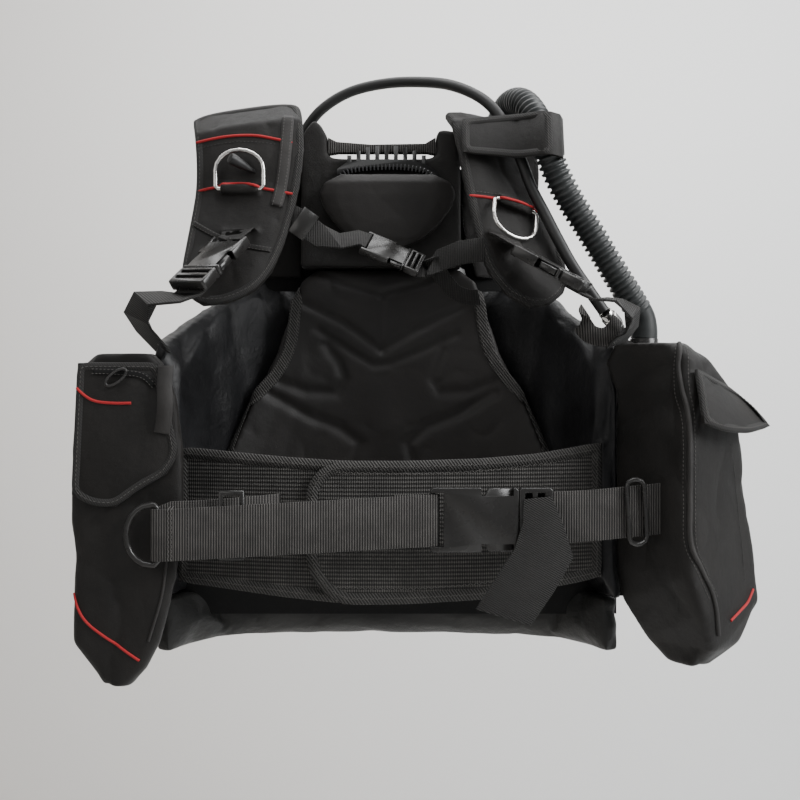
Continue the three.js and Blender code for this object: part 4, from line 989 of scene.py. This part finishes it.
def make_shoulders():
    """Both padded straps, with their piping and the right one's hem."""
    right = shoulder("shoulder_strap_right", 3.3)
    left = shoulder("shoulder_strap_left", 6.1)
    radius = 0.0015
    tree = surface_of(right)
    piping("red_piping_right_top", tree,
           [(-204, 275), (-173, 280), (-146, 281), (-125, 278), (-101, 272)], radius)
    piping("red_piping_right_low", tree,
           [(-201, 222), (-176, 226), (-156, 228), (-132, 223), (-100, 217)], radius)
    hem = smooth_line([at(-204, 0, 186), at(-180, 0, 172), at(-155, 0, 162), at(-122, 0, 156)], 40)
    tape_along("right_strap_hem", on_surface(tree, hem), 0.006, NYLON)
    piping("red_piping_left", surface_of(left),
           [(86, 214), (101, 213), (120, 211), (141, 207), (162, 200)], radius)


make_shoulders()


# ---- pocket flaps and the hose cover ----
def flap(node, start, body=VEST, depth=0.0036):
    """A cloth flap with a bound rim, on the body that holds it."""
    piece = shaped(node, NYLON, "nylon", body, width=0.0006, segments=2,
                   angle_limit=STRAP_BEVEL_ANGLE)
    bind_edge(f"{node}_binding", rim_frames(rim_of(node, start)), depth, 0.007, body,
              zigzag=False, finish=EDGE)
    return piece


flap("pocket_flap_right", at(-255, -208, -20), "pocket_flap_right")
flap("pocket_flap_left", at(335, -190, 0), "pocket_flap_left")
flap("hose_cover_flap", at(120, -120, 270), depth=0.003)



def made(node):
    return bpy.data.objects[f"{node}_made"]


def pipe_pockets():
    piping("red_piping_pocket_right_top", cad_surface(["pocket_flap_right"]),
           [(-303, 14), (-294, 5), (-283, -1), (-266, -3), (-248, -3)], body="pocket_flap_right")
    piping("red_piping_pocket_right_low", surface_of(made("pocket_right")),
           [(-307, -190), (-301, -206), (-290, -220), (-268, -236), (-241, -254)])
    piping("red_piping_pocket_left", surface_of(made("pocket_left")),
           [(338, -217), (350, -210), (362, -203), (371, -192)])


pipe_pockets()


# ---- trim ----
def ribbon(name, points, wide, width, finish, thick=0.0014, body=VEST):
    """A strip of webbing along points, its width along a direction."""
    line = smooth_line([at(*p) for p in points], 40)
    frames = []
    for i, place in enumerate(line):
        ahead = (line[min(i + 1, len(line) - 1)] - line[max(i - 1, 0)]).normalized()
        side = Vector(wide) - ahead * ahead.dot(Vector(wide))
        side.normalize()
        frames.append((place, side, side.cross(ahead)))
    half, t = width / 2, thick / 2
    section = [(-half, -t * 0.4), (-half, t * 0.4), (-half * 0.94, t), (half * 0.94, t),
               (half, t * 0.4), (half, -t * 0.4), (half * 0.94, -t), (-half * 0.94, -t)]
    return dress(swept(name, frames, section), finish, body)


def seam(name, piece, points, finish=THREAD, pitch=0.004, length=0.0028, width=0.0007, turn=0.0,
         count=60):
    """A row of stitches laid on a piece's front."""
    line = [p for p, _ in on_front(piece, points, count, 0.0005)]
    return stitches(name, line, finish, pitch, length, width, turn)


def trim_shoulders():
    """The straps' bound rims, the right one's sewn channel and a seam on each."""
    for side, start in (("right", (-150, -130, 240)), ("left", (118, -130, 235))):
        rim = rim_of(f"shoulder_strap_{side}", at(*start), corner=50)
        bind_edge(f"{side}_strap_binding", rim_frames(rim, step=0.007, ease=3), depth=0.007,
                  tape=0.0075, zigzag=False, finish=EDGE)
    right = made("shoulder_strap_right")
    channel = on_front(right, [(-106, 302), (-108, 262), (-112, 226), (-117, 204)])
    tape_along("right_strap_channel", channel, 0.013, TRIM_AND_RIDGE_HIGHLIGHT, thick=0.0016)
    seam("left_strap_seam", made("shoulder_strap_left"),
         [(90, 219), (101, 218), (120, 216), (141, 212), (160, 206)])
    seam("right_strap_seam", right, [(-203, 268), (-173, 273), (-146, 274), (-120, 271)], DARK_THREAD)


def trim_pockets():
    """The right flap's zip, pull and tab; the left pocket's hem and seams; the right one's fold."""
    right, left, flap_right = made("pocket_right"), made("pocket_left"), made("pocket_flap_right")
    body = "pocket_flap_right"
    long, short, cosine, sine, knots = 12, 5, 0.8, 0.6, 32  # the pull: a tilted oval
    turn = [FULL_TURN * i / knots for i in range(knots)]
    loop = [at(-262 + long * math.cos(a) * cosine - short * math.sin(a) * sine, -211.5,
               22 + long * math.cos(a) * sine + short * math.sin(a) * cosine) for a in turn]
    pull = settle(rod("zip_pull", loop, 0.0014, closed=True))
    dress(pull, PLASTIC, body)
    ribbon("pocket_tab", [(-214, -209.5, 33), (-214, -215, 14), (-213, -217.5, -4), (-215, -214, -20),
                          (-218, -209.5, -32)], (1, 0, 0.1), 0.015, TRIM_AND_RIDGE_HIGHLIGHT, 0.0022, body)
    zip_line = on_front(flap_right, [(-285, 28), (-262, 27), (-238, 24), (-226, 14)])
    tape_along("pocket_zip_right", zip_line, 0.007, LINING, body, thick=0.0012)
    ridge = on_front(left, [(288, 55), (285, 36), (286, 12), (290, -20), (290, -90), (291, -138),
                            (303, -165), (315, -190), (321, -228)], 70, 0.0008)
    # The hem rod is in the lighter cloth: a painted highlight along the ridge's lit side.
    hem = settle(rod("left_pocket_hem", [p for p, _ in ridge], 0.0024, 12))
    dress(hem, TRIM_AND_RIDGE_HIGHLIGHT)
    for name, shift in (("inner", -5.5), ("outer", 5.5)):
        seam(f"left_pocket_hem_{name}", left,
             [(x + shift, z) for x, z in ((288, 50), (286, 12), (290, -20), (290, -90), (291, -138),
                                          (303, -165), (315, -190))])
    seam("left_pocket_gusset", left, [(345, -45), (352, -90), (357, -140), (360, -180)], DARK_THREAD)
    # The fold rod is in the lighter cloth: a painted highlight along the fold's edge.
    fold_line = on_front(right, [(-213, -110), (-214, -150), (-219, -190), (-232, -235)], 50, 0.0006)
    edge = settle(rod("right_pocket_fold", [p for p, _ in fold_line], 0.0013))
    dress(edge, TRIM_AND_RIDGE_HIGHLIGHT)


def trim_belts():
    """The stitches across the waist strap's end and along the cummerbund's patch."""
    strap_right = made("waist_strap_right")
    for x in (-209, -206):
        seam(f"waist_strap_stitch_{-x}", strap_right, [(x, -103), (x, -128), (x, -153)], THREAD,
             pitch=0.0022, length=0.0034, width=0.0008, turn=math.radians(35), count=30)
    seam("waist_strap_fold", strap_right, [(-190, -104), (-190, -128), (-190, -152)], DARK_THREAD,
         count=30)
    for name, line in (("top", [(-50, -72), (20, -73), (93, -71), (180, -62)]),
                       ("low", [(-50, -186), (20, -187), (93, -183), (180, -172)])):
        seam(f"cummerbund_patch_{name}", made("cummerbund_left"), line, THREAD, pitch=0.003,
             length=0.004, width=0.0006, turn=ZIGZAG, count=160)


def trim_chest():
    """The chest strap's loose tail, the comb's ribs and the loop that holds the inflator."""
    ribbon("chest_tail", [(44, -112, 150), (50, -106, 143), (60, -99, 130), (72, -95, 117),
                          (86, -97, 111), (98, -101, 110)], (0.35, -0.75, 0.55), 0.022, WEB_FINE)
    arc = smooth_line([at(x, -59, z) for x, z in (
        (-55, 247), (-46, 254.5), (-25, 258.5), (0, 259.5), (22, 258.5), (40, 254.5), (53, 245))], 80)
    stitches("comb_ribs", arc, BUTTON, pitch=0.0042, length=0.0085, width=0.0026,
             turn=math.pi / 2, slot="rubber")
    ribbon("hose_loop", [(205, -141, 92), (200, -150, 80), (206, -157, 68), (220, -160, 64),
                         (231, -157, 70), (236, -150, 84)], (0.1, 0.3, 1), 0.02, WEB_ACROSS)


trim_shoulders()
trim_pockets()
trim_belts()
trim_chest()


# ---- dark linings behind the seams: partly the cloth behind, partly painted shade in the gaps ----
def plane(name, corners):
    mesh = bpy.data.meshes.new(name)
    mesh.from_pydata([Vector(c) for c in corners], [], [tuple(range(len(corners)))])
    return link(name, mesh)


def panel(name, y, corners):
    """A flat piece of near-black lining cloth at one depth, its corners given by X and Z in millimetres:
    partly the cloth behind, partly painted shade in the gaps.
    """
    piece = plane(name, [at(x, y, z) for x, z in corners])
    modifier(piece, "SOLIDIFY", thickness=0.0016, offset=0.0)
    return dress(settle(piece), LINING, smooth=False)


panel("collar_lining_gap_shade", -7, [(-152, 126), (138, 126), (138, 158), (90, 176), (88, 262), (70, 284),
                            (48, 277), (-60, 277), (-82, 284), (-102, 264), (-103, 176),
                            (-152, 158)])
panel("side_lining_gap_shade_right", -100, [(-246, -206), (-222, -206), (-222, 44), (-232, 44), (-246, 0)])
panel("side_lining_gap_shade_left", -122, [(226, -206), (258, -206), (258, 40), (226, 40)])
panel("hem_lining_gap_shade", -96, [(-240, -230), (246, -230), (246, -190), (-240, -190)])


# ---- light and ground ----
def lamp(name, place, aim, size, power, colour):
    """A rectangular lamp at a place, turned to its aim."""
    data = bpy.data.lights.new(name, "AREA")
    data.shape = "RECTANGLE"
    data.size, data.size_y = size
    data.energy = power
    data.color = colour
    made = link(name, data)
    made.location = place
    made.rotation_euler = (Vector(aim) - Vector(place)).to_track_quat("-Z", "Y").to_euler()
    return made


def painted_light_wall_finish():
    f = Finish("pale_wall")
    # Darker and warmer towards -X, brighter and cooler towards +X: painted light from the window side, on the
    # backdrop and the floor alike.
    across = f.along((1, 0, 0)) / 4.0 + 0.5
    mottled = f.noise(0.6, 2)
    colour = f.blend(across + (mottled - 0.5) * 0.2, (0.64, 0.615, 0.585), (0.80, 0.81, 0.81))
    return f.surface(colour, 0.9)


def make_room():
    pale = painted_light_wall_finish()
    half, back, ground = 9, 2.3, -1.4
    low, top, front = -3.5, 5, -6
    wall = plane("backdrop", [(-half, back, low), (half, back, low), (half, back, top),
                              (-half, back, top)])
    floor = plane("floor", [(-half, front, ground), (half, front, ground), (half, back, ground),
                            (-half, back, ground)])
    for piece in (wall, floor):
        piece.data.materials.append(pale)
    lamp("window", (2.5, -1.3, 1.5), (0, 0, 0), (1.7, 1.7), 124, (0.99, 0.995, 1.0))
    lamp("fill", (-2.2, -2.4, 1.2), (0, 0, 0), (2.0, 2.0), 17, (1.0, 0.97, 0.93))
    lamp("top", (0.1, -0.7, 2.4), (0, 0, 0), (1.8, 1.2), 38, (1, 1, 1))
    lamp("wall_wash", (0.4, 0.5, 1.7), (0.4, back, 0), (3.4, 1.4), 88, (1, 1, 1))
    world = bpy.data.worlds.new("world")
    bpy.context.scene.world = world
    world.use_nodes = True
    sky = world.node_tree.nodes["Background"]
    sky.inputs["Color"].default_value = (0.9, 0.91, 0.92, 1)
    sky.inputs["Strength"].default_value = 0.34


make_room()
